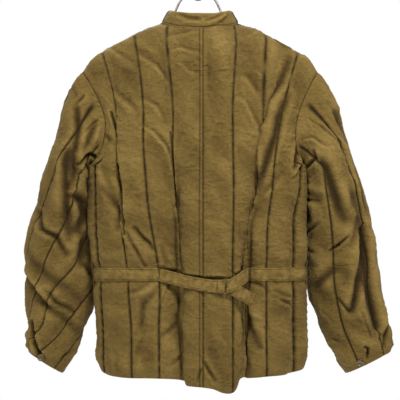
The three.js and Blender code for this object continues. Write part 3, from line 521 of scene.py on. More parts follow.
# How far the outer cloth stands off the inner one, how much darker each place is painted along stitched lines
# and in deep creases (dirt and painted shade), and how much lighter or darker it is painted for wear and for
# light and shade (0 to 1).
def panelHeight(face, half, c, v, base):
    edge = armholeAt(v)
    span = edge - 3 * pitch
    share = np.where(c < 3 * pitch, (c / pitch) % 1, (c - 3 * pitch) / span)
    isTail = c >= 3 * pitch
    tailShare = np.where(isTail, share, 0)
    split = quilting["tailSplit"]
    isFourth = tailShare < split
    inTail = np.where(isFourth, tailShare / split, (tailShare - split) / (1 - split))
    cell = np.where(isTail, inTail, share)
    width = np.where(isTail, span * np.where(isFourth, split, 1 - split), pitch)
    rise = channelRise(cell)
    gone = ease(armpit + 5, armpit + 25, v) * isTail
    rise = mix(rise, channelRise(tailShare) * 0.95, gone)
    fromLine = np.minimum(cell, 1 - cell) * width
    fromLine = mix(fromLine, np.minimum(tailShare, 1 - tailShare) * span, gone)
    if face == "front":
        lapped = mix(0.1, channelRise(clip01(c / pitch)), ease(frontLap, frontLap + 24, c))
        rise = np.where(c < pitch, lapped, rise)
        fromLine = np.where(c < pitch / 2, 40, fromLine)
    atArmhole = np.where(v > armpit, ease(-2, 26, edge - c), 1)
    hem = mix(0.3, 1, ease(0, 24, v))
    top = mix(0.25, 1, ease(topRow, topRow - 30, v))
    rise = mix(0.72, rise, mix(0.15, 1, ease(topRow - 40, topRow - 120, v)))
    flat = tapeFlat(half, c, v) if face == "back" else 1
    pinch = 1 - 0.85 * foldsAt(face, half, c, v)[3]
    loft = hem * top * flat * pinch
    seed = {"back": 10, "front": 20}[face] + (1 if half > 0 else 0)
    free = clip01(fromLine / 12) * hem * mix(0.35, 1, flat)
    lumps = quilting["lumps"] * waves(half * c, v, seed, 120, 45, slant=0.9, spread=1.4) * free
    drag = waves(half * c, v, seed + 5, 64, 20, slant=1.0, spread=1.3)
    crumple = quilting["crumple"] * ridges(drag * 1.3) * free
    line = np.round(c / pitch)
    pucker = puckerOf(v, line, cell < 0.5, seed, fromLine)
    creases = creaseHeight(base[..., 0], base[..., 2], creasesOf[face])
    outer = wall * mix(0.5, 1, ease(-1, 5, v)) + puff * rise * atArmhole * loft
    outer = outer + lumps + crumple + pucker * hem + creases * clip01(0.35 + fromLine / 8) * hem
    patchy = 0.85 + 0.15 * waves(v, line * 53, seed + 15, 60, 14, count=8, slant=0, spread=0.3)
    # Stitched lines are painted darker: dirt along the stitching and painted shade in the groove.
    grooveWidth = np.where((line == 0) & (face == "back"), quilting["seamGroove"], quilting["grooveDirtAndShade"])
    grooveDirtAndShade = bell(fromLine, grooveWidth) * clip01(patchy)
    if face == "back" and half < 0:
        lap = bell(c - quilting["lapStitchAt"], quilting["lapStitch"])
        outer, grooveDirtAndShade = outer - 0.7 * lap, np.maximum(grooveDirtAndShade, 0.7 * lap)
    # Deep valleys also get painted shade in their colour.
    grooveDirtAndShade = np.maximum(grooveDirtAndShade, deepCrease(creases) * hem)
    return np.maximum(outer, quilting["thinnest"]), grooveDirtAndShade, wearAndShadeBy(lumps + crumple + creases)


def panelSurface(face, half, c, v):
    base = bodyPoint(face, half, c, v)
    normal = bodyNormal(face, half, c, v)
    if face == "front" and half < 0:
        lift = body["lapLift"] * (1 - ease(frontLap + 3, frontLap + 36, c))
        base = base + normal * lift[..., None]
    height, grooveDirtAndShade, wearAndShade = panelHeight(face, half, c, v, base)
    return base, base + normal * height[..., None], normal, grooveDirtAndShade, wearAndShade


def panelGrid(face, half):
    fixed, tail = panelColumns(face == "front")
    rows = panelRows[:, None]
    edge = armholeAt(rows)
    c = np.concatenate([np.broadcast_to(fixed, (len(rows), len(fixed))), mix(3 * pitch, edge, tail)], 1)
    if face == "back" and half < 0:
        c = np.where(c == 0, -seamGap, c)
    return c, np.broadcast_to(rows, c.shape)


# Evens out the panel beside the corner where the neck meets the shoulder.
def softenNeckCorner(grid, c, v, rounds=30):
    weight = ease(68, 74, c) * ease(104, 84, c) * ease(530, 566, v) * ease(topRow, topRow - 3, v)
    weight = weight[:, 1:-1, None]
    for _ in range(rounds):
        left = (c[:, 1:-1] - c[:, :-2])[..., None]
        right = (c[:, 2:] - c[:, 1:-1])[..., None]
        middle = (grid[:, :-2] * right + grid[:, 2:] * left) / (left + right)
        grid[:, 1:-1] = mix(grid[:, 1:-1], middle, 0.5 * weight)
    return grid


# The faces of a grid of points, which may close up on itself either way.
def gridFaces(rows, wide, closeRows=False, closeColumns=False):
    i, j = np.meshgrid(np.arange(rows - (not closeRows)), np.arange(wide - (not closeColumns)), indexing="ij")
    nextI, nextJ = (i + 1) % rows, (j + 1) % wide
    corners = (i * wide + j, i * wide + nextJ, nextI * wide + nextJ, nextI * wide + j)
    return np.stack([corner.ravel() for corner in corners], 1)


# A closed wall between an outer and an inner grid of points, in rows of columns.
def wallMesh(name, outer, inner, marks, ring=False, sides="own"):
    rows, wide = outer.shape[:2]
    deep = rows * wide
    front = gridFaces(rows, wide, closeColumns=ring)

    def rim(start, end):
        return np.stack([start, end, end + deep, start + deep], 1)

    foot = np.arange(wide if ring else wide - 1)
    nextFoot, top = (foot + 1) % wide, (rows - 1) * wide
    faces = [front, front[:, ::-1] + deep, rim(nextFoot, foot), rim(top + foot, top + nextFoot)]
    if not ring:
        side = np.arange(rows - 1) * wide
        last = side + wide - 1
        faces += [rim(side, side + wide), rim(last + wide, last)]
    points = np.concatenate([outer.reshape(-1, 3), inner.reshape(-1, 3)])
    return makeMesh(name, points, np.concatenate(faces), marks, sides)


# Marks are values on the points. A wall's inner side has its outer side's marks if the two look alike.
def makeMesh(name, points, faces, marks=None, sides="own", sharpFrom=55):
    corners = points[faces]
    normals = np.cross(corners[:, 2] - corners[:, 0], corners[:, 3] - corners[:, 1])
    if (normals * corners.mean(1)).sum() < 0:
        faces = faces[:, ::-1]
    mesh = bpy.data.meshes.new(name)
    mesh.vertices.add(len(points))
    mesh.vertices.foreach_set("co", toRow(points).astype(np.float32).ravel())
    mesh.loops.add(faces.size)
    mesh.loops.foreach_set("vertex_index", faces.astype(np.int32).ravel())
    mesh.polygons.add(len(faces))
    mesh.polygons.foreach_set("loop_start", np.arange(0, faces.size, 4, dtype=np.int32))
    mesh.update(calc_edges=True)
    mesh.validate()
    for markName, values in (marks or {}).items():
        values = np.asarray(values, float).ravel()
        plain = np.full(values.shape, 0.4 if markName == "wearAndShade" else 0)
        values = np.concatenate([values, values if sides == "alike" else plain])
        layer = mesh.attributes.new(markName, "FLOAT", "POINT")
        layer.data.foreach_set("value", values.astype(np.float32))
    mesh.shade_smooth()
    mesh.set_sharp_from_angle(angle=math.radians(sharpFrom))
    piece = bpy.data.objects.new(name, mesh)
    bpy.context.collection.objects.link(piece)
    return piece


def dress(piece, node, material):
    piece.data.materials.append(material)
    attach(piece, "root")
    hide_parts(node)


# Materials
def newMaterial(name):
    material = bpy.data.materials.new(name)
    material.use_nodes = True
    nodes, links = material.node_tree.nodes, material.node_tree.links
    shader = next(n for n in nodes if n.type == "BSDF_PRINCIPLED")

    # Gives inputs their values or links.
    def feed(inputs, target=shader):
        for key, value in inputs.items():
            if isinstance(value, bpy.types.NodeSocket):
                links.new(value, target.inputs[key])
            else:
                target.inputs[key].default_value = value

    # Adds a node and gives back one of its outputs.
    def node(kind, inputs=None, out=0, **settings):
        made = nodes.new(f"ShaderNode{kind}")
        for key, value in settings.items():
            setattr(made, key, value)
        feed(inputs or {}, made)
        return made.outputs[out]

    def noise(place, scale, detail, roughness=0.5, distortion=0):
        inputs = {"Scale": scale, "Detail": detail, "Roughness": roughness, "Distortion": distortion}
        return node("TexNoise", {"Vector": place, **inputs})

    def ramp(share, *stops):
        made = nodes.new("ShaderNodeValToRGB")
        links.new(share, made.inputs["Fac"])
        for _ in stops[2:]:
            made.color_ramp.elements.new(0.5)
        for element, (at, colour) in zip(made.color_ramp.elements, stops):
            element.position, element.color = at, colour
        return made.outputs["Color"]

    return material, feed, node, noise, ramp


cottonLook = {
    "light": (0.0880, 0.0592, 0.0170),
    "middle": (0.0568, 0.0374, 0.0097),
    "dark": (0.030, 0.0180, 0.0043),
    # The thread colour is the dark of the stitched lines and the deepest creases: dirt along the stitching
    # and painted shade in grooves and creases.
    "thread": (0.0040, 0.0018, 0.0004, 1),
    "weave": 0.00075,
    "crumple": 0.011,
}


def cottonMaterial(name, lift=1.0):
    material, feed, node, noise, ramp = newMaterial(name)
    place = node("TexCoord", out="Object")
    # The two marks read here paint light and shade into the colour: one lightens ridges and darkens hollows
    # (partly wear, partly painted light and shade), the other darkens stitched lines and deep creases (dirt
    # and painted shade).
    wearAndShade, grooveDirtAndShade = (node("Attribute", out="Fac", attribute_name=mark) for mark in ("wearAndShade", "grooveDirtAndShade"))
    fine = noise(place, 160, 4, 0.7)
    mixed = node("Math", {0: noise(place, 9, 5, 0.6), 1: fine}, operation="ADD")
    both = node("Math", {0: mixed, 1: wearAndShade}, operation="ADD")
    share = node("MapRange", {"Value": both, "From Min": 0.95, "From Max": 2.05})
    tones = [[c * lift for c in cottonLook[tone]] + [1] for tone in ("dark", "middle", "light")]
    cloth = ramp(share, *zip((0, 0.5, 1), tones))
    # Stitched lines and deep creases are mixed toward the thread colour: dirt and painted shade.
    colour = node("Mix", {0: grooveDirtAndShade, 6: cloth, 7: cottonLook["thread"]}, 2, data_type="RGBA")

    waveInputs = {"Vector": place, "Scale": 1 / cottonLook["weave"] / 6.3, "Distortion": 1.2}
    threads = [node("TexWave", waveInputs, "Fac", bands_direction=way) for way in "XZ"]
    squashed = node("VectorMath", {0: place, 1: (1, 1, 1.7)}, operation="MULTIPLY")
    centred = node("Math", {0: noise(squashed, 22, 4, 0.6, 1.0), 1: 0.5}, operation="SUBTRACT")
    bumps = [
        (node("Math", {0: centred}, operation="ABSOLUTE"), 0.9, 0.011),
        (noise(place, 1 / cottonLook["crumple"], 6, 0.62, 0.6), 0.75, 0.0028),
        (fine, 0.35, 0.0006),
        (node("Math", dict(enumerate(threads)), operation="ADD"), 0.3, 0.0002),
    ]
    normal = {}
    for height, strength, distance in bumps:
        inputs = {"Height": height, "Strength": strength, "Distance": distance, **normal}
        normal = {"Normal": node("Bump", inputs)}
    feed({"Base Color": colour, "Roughness": 0.92, "Specular IOR Level": 0.05, **normal})
    feed({"Sheen Weight": 0.05, "Sheen Tint": (0.9, 0.65, 0.3, 1), "Sheen Roughness": 0.6})
    return material


def metalMaterial(name, dark, light, roughness):
    material, feed, node, noise, ramp = newMaterial(name)
    spots = noise(node("TexCoord", out="Object"), 260, 6, 0.65)
    rough = node("MapRange", {"Value": spots, "To Min": roughness - 0.1, "To Max": roughness + 0.15})
    normal = node("Bump", {"Height": spots, "Strength": 0.15, "Distance": 0.0003})
    colour = ramp(spots, (0.35, dark), (0.65, light))
    feed({"Base Color": colour, "Roughness": rough, "Normal": normal, "Metallic": 1})
    return material


cotton = cottonMaterial("quilted cotton")
# A copy of the cotton painted 4% lighter for the straps and tapes: a painted highlight for cloth that stands
# off the jacket.
strapCottonPaintedLighter = cottonMaterial("strap cotton", lift=1.04)
wireMetal = metalMaterial("hanger wire", (0.10, 0.095, 0.09, 1), (0.34, 0.32, 0.30, 1), 0.3)
buckleMetal = metalMaterial("old buckle", (0.025, 0.018, 0.010, 1), (0.10, 0.08, 0.05, 1), 0.4)
buttonMetal = metalMaterial("old button", (0.020, 0.016, 0.009, 1), (0.11, 0.09, 0.05, 1), 0.45)

# Panels
sideNames = {-1: "left", 1: "right"}
gridShapes = {}
for half, sideName in sideNames.items():
    for face in ("back", "front"):
        c, v = panelGrid(face, half)
        inner, outer, normal, grooveDirtAndShade, wearAndShade = panelSurface(face, half, c, v)
        inner, outer = softenNeckCorner(inner, c, v), softenNeckCorner(outer, c, v)
        nudge = np.where((v == topRow) & (c > neckCloth - 1), seamGap / 2, 0)
        away = np.zeros(inner.shape)
        away[..., 1] = nudge * (1 if face == "front" else -1)
        inner, outer = inner + away, outer + away
        gridShapes[face, half] = c.shape
        piece = wallMesh(f"{face}Panel.{sideName}", outer, inner, {"grooveDirtAndShade": grooveDirtAndShade, "wearAndShade": wearAndShade})
        dress(piece, f"{face}_{sideName}", cotton)
print("panels", gridShapes)

# Sleeves
sleeveNames = "i outerX outerZ innerX innerZ halfDepth y"
sleeveSections = {
    -1: table(
        sleeveNames,
        (0, -284, 456, -238, 384, 66, 8),
        (1, -315, 352, -228, 318, 63, 24),
        (2, -338, 262, -226, 245, 57, 36),
        (3, -340, 175, -219, 178, 53, 38),
        (4, -338, 105, -236, 112, 48, 37),
        (5, -338, 64, -257, 56, 42, 34),
        (6, -339, 42, -280, 2, 37, 32),
    ),
    1: table(
        sleeveNames,
        (0, 285, 456, 228, 384, 66, 8),
        (1, 321, 352, 219, 318, 63, 24),
        (2, 341, 262, 219, 245, 57, 36),
        (3, 352, 180, 225, 180, 53, 38),
        (4, 367, 108, 247, 108, 48, 37),
        (5, 376, 70, 274, 52, 42, 34),
        (6, 380, 44, 298, 2, 37, 32),
    ),
}

# u goes round from the shoulder over the back (0.25) and the underarm (0.5), t from the armhole to the cuff.
sleeve = {
    "start": 0.22,
    "channels": 6,
    "girth": 420,
    "length": 600,
    "slack": 9,
    "knots": np.array([600, 567, 533, 500, 455, 428, 418], float),
    "rows": np.array(
        [*np.linspace(0, 0.22, 35, False), *np.linspace(0.22, 0.97, 103, False), 0.97, 0.98]
        + [0.988, 0.994, 0.998, 1]
    ),
    "lumps": 1.5,
    "crumple": 0.9,
    # Width of the darker band painted along the stitched lines: dirt and painted shade.
    "grooveDirtAndShade": 2.0,
    "bottom": 0.5,
}

# How far the quilting lines turn round the arm on their way down.
sleeveTwist = {
    -1: table(
        "t turn", (0, 0), (0.1, 0.05), (0.3, -0.02), (0.45, -0.09), (0.55, -0.15), (0.65, -0.22),
        (0.75, -0.3), (0.9, -0.45), (1, -0.5)
    ),
    1: table("t turn", (0, 0), (0.15, -0.02), (0.4, -0.05), (0.6, -0.04), (0.8, -0.02), (1, -0.02)),
}

# Large folds by place round and down the sleeve (u, t).
sleeveFolds = {
    -1: [
        (-2.5, 12, (0.06, 0.5), (0.36, 0.66)),
        (-2.5, 10, (0.1, 0.62), (0.4, 0.8)),
        (-6, 11, (0.22, 0.16), (0.3, 0.44)),
        (-9, 12, (0.62, 0.6), (0.9, 0.5)),
        (-4, 9, (0.66, 0.34), (0.84, 0.4)),
        (-4, 8, (0.6, 0.74), (0.8, 0.7)),
    ],
    1: [
        (-9, 12, (0.14, 0.34), (0.15, 0.78)),
        (-6, 11, (0.3, 0.18), (0.22, 0.4)),
        (-4, 11, (0.28, 0.55), (0.4, 0.62)),
        (-9, 12, (0.62, 0.62), (0.88, 0.52)),
        (-4, 9, (0.64, 0.36), (0.84, 0.42)),
        (-4, 8, (0.6, 0.76), (0.8, 0.72)),
    ],
}

# Creases of the sleeves' back halves, seen from behind, as on the back.
sleeveCreases = {
    -1: [
        (-1.8, 2.5, (-194, 513), (-213, 499), (-238, 472)),
        (-3.5, 7, (-206, 502), (-225, 462), (-241, 446)),
        (-6, 3.5, (-245, 420), (-229, 436), (-220, 441), (-207, 436), (-203, 424)),
        (-3, 2.5, (-230, 424), (-230, 404)),
        (-2.5, 2.5, (-218, 412), (-205, 422)),
        (-6, 6, (-243, 527), (-241, 488), (-244, 462), (-251, 440), (-252, 404), (-258, 374)),
        (-4, 9, (-262, 440), (-258, 404)),
        (-3, 3, (-228, 555), (-244, 535)),
        (-1.5, 4, (-249, 568), (-242, 549)),
        (-5, 6, (-313, 321), (-307, 291), (-285, 278), (-275, 256), (-268, 241)),
        (-8, 8, (-253, 358), (-241, 343), (-238, 318), (-251, 288)),
        (5, -5, (-347, 234), (-338, 206), (-323, 180), (-307, 160), (-298, 142)),
        (-4, 5, (-303, 167), (-285, 144), (-265, 134), (-258, 127)),
        (-7, 3, (-328, 106), (-324, 66), (-318, 45), (-311, 34)),
        (2, 3, (-346, 117), (-330, 99)),
        (2, 4, (-345, 102), (-333, 69), (-325, 47)),
        (-5, 8, (-243, 283), (-241, 249), (-243, 219)),
        (-4, 5, (-236, 219), (-228, 199)),
        (-1.5, 3, (-285, 32), (-253, 60)),
    ],
    1: [
        (3, 5, (245, 534), (259, 508), (270, 485), (286, 432), (302, 383), (311, 352), (319, 310)),
        (-5, 6, (262, 518), (272, 489), (290, 436), (302, 404), (313, 363), (321, 310)),
        (-1.8, 2.5, (217, 508), (241, 491), (262, 467), (276, 444), (286, 420)),
        (1.5, 4, (241, 499), (278, 452), (288, 428)),
        (3, 4, (207, 465), (225, 466), (237, 455), (249, 446), (258, 448)),
        (-4, 8, (290, 375), (294, 341), (294, 310)),
        (-9, 6, (207, 412), (214, 404), (218, 392)),
        (-5, 4, (202, 416), (221, 420), (233, 432), (229, 444)),
        (-6, 9, (212, 356), (218, 330), (222, 308)),
        (3, -9, (219, 377), (247, 365)),
        (-4, 5, (211, 348), (241, 348)),
        (-5, 3, (291, 279), (277, 262), (261, 249)),
        (-5, 8, (302, 308), (302, 288), (300, 258)),
        (3, 5, (313, 299), (305, 215), (297, 135)),
        (-7, 8, (322, 290), (317, 230), (309, 165), (301, 128)),
        (-2.5, 2.5, (316, 132), (328, 102), (339, 73)),
        (-5, 2.5, (328, 57), (334, 53), (333, 34)),
        (-4, 3, (277, 152), (288, 139), (297, 126)),
        (-1.5, 3, (310, 112), (331, 94)),
        (2, 4, (355, 135), (363, 118), (359, 94), (347, 65)),
        (-4, 3.5, (363, 149), (367, 114), (365, 84), (361, 53)),
        (1.5, 3, (249, 128), (267, 104)),
        (1.5, 3, (267, 73), (282, 63)),
        (-3.5, 3.5, (222, 286), (233, 296), (242, 306)),
        (-2, 5, (216, 253), (238, 243)),
    ],
}


def armholePlace(u):
    turn = u % 1
    isBack = turn <= 0.5
    down = np.where(isBack, turn, 1 - turn) * 12
    return isBack, np.interp(down, np.arange(7), sleeve["knots"])


def pastArmhole(face, half, v):
    c = armholeAt(v)
    normal = bodyNormal(face, half, c, v)
    above, below = np.minimum(v + 1, topRow), np.maximum(v - 1, armpit)
    edge = bodyPoint(face, half, armholeAt(above), above) - bodyPoint(face, half, armholeAt(below), below)
    past = unit(np.cross(edge, normal))
    inward = bodyPoint(face, half, c - 6, v) - bodyPoint(face, half, c, v)
    low = (v <= armpit + 4)[..., None]
    flip = np.where(low, past[..., 2:] < 0, dot(past, inward) > 0)
    return np.where(flip, -past, past)


def byFace(make, u):
    isBack, v = armholePlace(u)
    return np.where(isBack[..., None], make("back", v), make("front", v))


def sleeveRing(half, u, t):
    row = {name: read(sleeveSections[half], "i", name, t * 6) for name in sleeveSections[half]}
    turn = 2 * math.pi * u
    across = np.sign(np.cos(turn)) * np.abs(np.cos(turn)) ** 0.94
    deep = np.sign(np.sin(turn)) * np.abs(np.sin(turn)) ** 0.94
    x = (row["outerX"] + row["innerX"]) / 2 + (row["outerX"] - row["innerX"]) / 2 * across
    z = (row["outerZ"] + row["innerZ"]) / 2 + (row["outerZ"] - row["innerZ"]) / 2 * across
    return stack(x, row["y"] - row["halfDepth"] * deep, z)


def sleevePoint(half, u, t):
    u, t = np.broadcast_arrays(np.asarray(u, float), np.asarray(t, float))
    begin = sleeve["start"]
    low = sleeveRing(half, u, clip01((t - begin) / (1 - begin)))
    start = byFace(lambda face, v: bodyPoint(face, half, armholeAt(v), v), u)
    past = byFace(lambda face, v: pastArmhole(face, half, v), u)
    end, onward = sleeveRing(half, u, 0 * t), sleeveRing(half, u, 0 * t + 0.04)
    span = np.maximum(np.linalg.norm(end - start, axis=-1, keepdims=True), 60)
    under = ease(0.5, 1, 1 - np.abs(np.cos(math.pi * u)))[..., None]
    leave, arrive = past * span * mix(0.7, 1, under), unit(onward - end) * span * mix(0.9, 1.1, under)
    cap = hermite(start, leave, end, arrive, clip01(t / begin))
    return np.where((t > begin)[..., None], low, cap)


def sleeveNormal(half, u, t):
    axis = np.mean([sleevePoint(half, np.full(t.shape, a), t) for a in (0, 0.25, 0.5, 0.75)], axis=0)
    return normalOf(
        lambda a, b: sleevePoint(half, a / 100, b / 100), u * 100, np.clip(t * 100, 0.6, 99.4), lambda p: axis
    )


def sleeveHeight(half, u, t, share, line, base, normal):
    settled = ease(0, sleeve["start"], t)
    fromBottom = u % 1 - sleeve["bottom"]
    under = 1 - 0.75 * bell(fromBottom, 0.13) * (1 - ease(0.3, 0.75, t))
    cuff = mix(0.35, 1, ease(1, 0.93, t))
    rise = channelRise(share) * mix(0.75, 1, settled)
    slack = sleeve["slack"] * bell(fromBottom, 0.1) * ease(0.08, 0.16, t) * ease(0.42, 0.3, t)
    fromLine = np.minimum(share, 1 - share) * sleeve["girth"] / sleeve["channels"]
    a, b = u * sleeve["girth"], t * sleeve["length"]
    seed = 30 if half < 0 else 40
    free = clip01(fromLine / 12) * clip01(t / 0.04) * cuff
    lumps = sleeve["lumps"] * waves(a, b, seed, 130, 50, slant=0.9, spread=2) * free
    crumple = sleeve["crumple"] * ridges(waves(a, b, seed + 5, 62, 20, slant=0.8, spread=2.2)) * free
    pucker = puckerOf(b, line, share < 0.5, seed, fromLine)
    creases = creaseHeight(u, t, sleeveFolds[half], scale=(sleeve["girth"], sleeve["length"]), wrap=1)
    behind = ease(0, 0.4, -normal[..., 1])
    creases = creases + behind * creaseHeight(base[..., 0], base[..., 2], sleeveCreases[half])
    outer = wall * mix(0.55, 1, ease(1.004, 0.99, t)) + puff * rise * ease(-0.02, 0.13, t) * cuff * under
    outer = outer + lumps + crumple + pucker + slack
    # Stitched lines are painted darker (dirt and painted shade), and deep creases get painted shade.
    grooveDirtAndShade = bell(fromLine, sleeve["grooveDirtAndShade"]) * ease(0.01, 0.05, t)
    grooveDirtAndShade = np.maximum(grooveDirtAndShade, deepCrease(creases) * clip01(t / 0.03))
    return outer, creases * clip01(t / 0.03), grooveDirtAndShade, wearAndShadeBy(lumps + crumple + creases)


# How far round the arm the cloth gathers toward the outside at the elbow.
elbow = {"turn": {-1: -0.09, 1: 0}, "u": 0.33, "t": 0.66, "reach": 0.13}
for half, sideName in sideNames.items():
    columns = len(shares) * sleeve["channels"]
    line = np.repeat(np.arange(sleeve["channels"]), len(shares))
    share = np.tile(shares, sleeve["channels"])
    t = sleeve["rows"][:, None]
    twist = read(sleeveTwist[half], "t", "turn", t)
    turned = (line + share) / sleeve["channels"] + twist
    near = bell(turned - elbow["u"], elbow["reach"]) * bell(t - elbow["t"], elbow["reach"])
    turned = turned + elbow["turn"][half] * near
    u = mix(np.arange(columns) / columns, turned, ease(0, sleeve["start"], t))
    t = np.broadcast_to(t, u.shape)
    normal = sleeveNormal(half, u, t)
    base = sleevePoint(half, u, t)
    height, dent, grooveDirtAndShade, wearAndShade = sleeveHeight(half, u, t, share + 0 * u, line, base, normal)
    inner = base + normal * np.minimum(dent, 0)[..., None]
    outer = base + normal * (height + dent)[..., None]
    armEdge = byFace(lambda face, v: bodyPoint(face, half, armholeAt(v), v), u[0])
    armNormal = byFace(lambda face, v: bodyNormal(face, half, armholeAt(v), v), u[0])
    armPast = byFace(lambda face, v: pastArmhole(face, half, v), u[0]) * 0.06
    inner[0], outer[0] = armEdge + armPast, armEdge + armPast + armNormal * wall
    piece = wallMesh(f"sleeve.{sideName}", outer, inner, {"grooveDirtAndShade": grooveDirtAndShade, "wearAndShade": wearAndShade}, ring=True)
    dress(piece, f"sleeve_{sideName}", cotton)
print("sleeves")

# Collar
collar = {
    "height": 33,
    "thick": 3.2,
    "rows": [0, 0.03, 0.07, 0.09, 0.11, 0.13, 0.16, *np.arange(0.21, 0.9, 0.05), 0.92, 0.95, 0.98, 1],
    "stitchAt": 0.11,
    "stitch": 0.9,
    "seam": 1.3,
}

# Creases of the collar's back, across from the seam and up from its foot.
collarCreases = [
    (2, -5, (8, 8), (30, 15), (58, 27)),
    (-1.5, 3, (4, 17), (30, 23), (56, 31)),
    (-1.5, 3.5, (-62, 29), (-36, 24), (-8, 21)),
    (1.2, 5, (-62, 20), (-36, 14), (-10, 12)),
]


def collarEdge():
    front = np.linspace(-frontLap, neckCloth - 3, 54)
    back = np.linspace(seamGap / 2, neckCloth + 3, 56)
    spans = [(1, "front", front), (1, "back", back[::-1]), (-1, "back", back), (-1, "front", front[::-1])]
    parts = []
    for half, face, c in spans:
        inner, outer, *_ = panelSurface(face, half, c, np.full(c.shape, float(topRow)))
        parts.append((inner, outer, half + 0 * c, (-1 if face == "back" else 1) + 0 * c, c))
    return [np.concatenate(column) for column in zip(*parts)]


footInner, footOuter, edgeHalf, edgeAway, edgeC = collarEdge()
order = np.arange(len(footInner))
before, after = np.maximum(order - 1, 0), np.minimum(order + 1, order[-1])
alongNeck = unit(footInner[after] - footInner[before])
footWall = footOuter - footInner
onward = unit(np.cross(alongNeck, footWall))
onward = np.where(dot(onward, np.array([0, 0, 900.0]) - footInner) < 0, -onward, onward)
level = np.cross(alongNeck, [0, 0, 1.0])
level[:, 2] = 0
level = unit(level)
level = np.where(dot(level, footInner) < 0, -level, level)
spread = np.clip(edgeC / neckCloth, -1, 1)
lean = unit(stack(-edgeHalf * 0.48 * spread, -edgeAway * 0.3 * (1 - np.abs(spread)), 1))
collarRun = runAlong(footInner)
fromSeam = collarRun[np.argmin(np.abs(edgeC) + 500 * (edgeAway > 0))] - collarRun
collarRows = []
for share in collar["rows"]:
    gap = mix(seamGap + 0.1, 1, ease(20, 50, edgeC))[:, None]
    ripple = 0.5 * waves(collarRun, share * 40 + 0 * collarRun, 51, 60, 16, count=14, slant=1.35, spread=0.6)
    ripple = ripple + creaseHeight(fromSeam, share * collar["height"], collarCreases)
    topWave = 0.7 * waves(collarRun, 0 * collarRun, 52, 140, 60, count=6, slant=0, spread=0.2)
    topWave = topWave * ease(0.4, 1, share)
    base = footInner + onward * gap + lean * (collar["height"] * share + topWave)[:, None]
    base = base - lean * (3.5 * (1 - spread**2) * float(ease(0.12, 0, share)))[:, None]
    base = base + onward * 2 * ease(0, 0.2, share) + level * (1.1 * ripple * ease(0.12, 0.5, share))[:, None]
    roundTop = np.sqrt(np.clip(1 - max(0, (share - 0.9) / 0.1) ** 2 * 0.85, 0, 1))
    stitch = bell((share - collar["stitchAt"]) * collar["height"], collar["stitch"])
    full = mix(footWall, level * collar["thick"], float(ease(0, 0.35, share)))
    full = full * roundTop * (1 - 0.35 * stitch)
    swell = level * 0.9 * float(ease(0.12, 0.3, share) * ease(1, 0.7, share))
    # The collar's stitching and its seam at the foot are painted darker: dirt along the stitching and painted
    # shade where the collar meets the body.
    grooveDirtAndShade = np.full(len(order), max(0.75 * stitch, bell(share * collar["height"], collar["seam"])))
    # The collar is painted lighter toward its top rim: partly rubbed wear, partly painted highlight.
    wearAndShade = clip01(0.55 + 0.2 * ripple + 0.35 * float(ease(0.85, 1, share)))
    collarRows.append((base + full + swell, base, grooveDirtAndShade, wearAndShade))
outer, inner, grooveDirtAndShade, wearAndShade = (np.array(column) for column in zip(*collarRows))
piece = wallMesh("collarStand", outer, inner, {"grooveDirtAndShade": grooveDirtAndShade, "wearAndShade": wearAndShade})
dress(piece, "collar", cotton)

# Tapes stitched round the waist of the back
tape = {"gap": 0.45, "thick": 2.2, "stitchIn": 2.6, "stitch": 0.6, "endIn": 4, "endStitch": 0.9}
for half, sideName in sideNames.items():
    start = body["tapeFrom"][half]
    c = np.linspace(start, sideSeam - seamGap / 2, 60)
    wide = tapeTop - tapeBottom
    down = np.array([0, 0.4, 1, 1.8, 2.4, 2.8, 3.4, 5, 8, 10.5, 13])
    down = np.unique(np.concatenate([down, wide - down])) + tapeBottom
    c, v = np.meshgrid(c, down)
    _, outer, normal, *_ = panelSurface("back", half, c, v)
    fromEdge = np.minimum(v - tapeBottom, tapeTop - v)
    endStitch = bell(c - start - tape["endIn"], tape["endStitch"])
    stitch = np.maximum(bell(fromEdge - tape["stitchIn"], tape["stitch"]), endStitch)
    full = tape["thick"] * mix(0.4, 1, ease(-0.2, 1.2, fromEdge)) * (1 - 0.28 * stitch)
    full = full + 0.25 * waves(c, v, 61 + half, 30, 9) * ease(2, 6, fromEdge)
    inner = outer + normal * tape["gap"]
    wearAndShade = clip01(0.6 + 0.15 * waves(c, v, 62 + half, 40, 12))
    outer = inner + normal * full[..., None]
    # The tape's stitching is painted darker: dirt and painted shade in its dents.
    piece = wallMesh(f"waistTape.{sideName}", outer, inner, {"grooveDirtAndShade": 0.55 * stitch, "wearAndShade": wearAndShade})
    dress(piece, f"waist_tape_{sideName}", strapCottonPaintedLighter)
print("tapes")


# A smooth line through points, spaced by the square root of their gaps.
def smoothLine(points, steps):
    points = np.array(points, float)
    points = np.concatenate([[2 * points[0] - points[1]], points, [2 * points[-1] - points[-2]]])
    line = []
    for k in range(1, len(points) - 2):
        p = points[k - 1 : k + 3]
        knots = np.concatenate([[0], np.cumsum(np.sqrt(np.linalg.norm(np.diff(p, axis=0), axis=1)) + 1e-6)])
        for t in np.linspace(knots[1], knots[2], steps, endpoint=False):
            a = [mix(p[i], p[i + 1], (t - knots[i]) / (knots[i + 1] - knots[i])) for i in range(3)]
            b = [mix(a[i], a[i + 1], (t - knots[i]) / (knots[i + 2] - knots[i])) for i in range(2)]
            line.append(mix(b[0], b[1], (t - knots[1]) / (knots[2] - knots[1])))
    line.append(points[-2])
    return np.array(line)


# A strap as a closed band: its face has stitching near both edges and near its ends.
strap = {"wide": 24, "thick": 2, "stitchIn": 2.6, "stitch": 0.6, "endStitch": 0.7, "steps": 10}


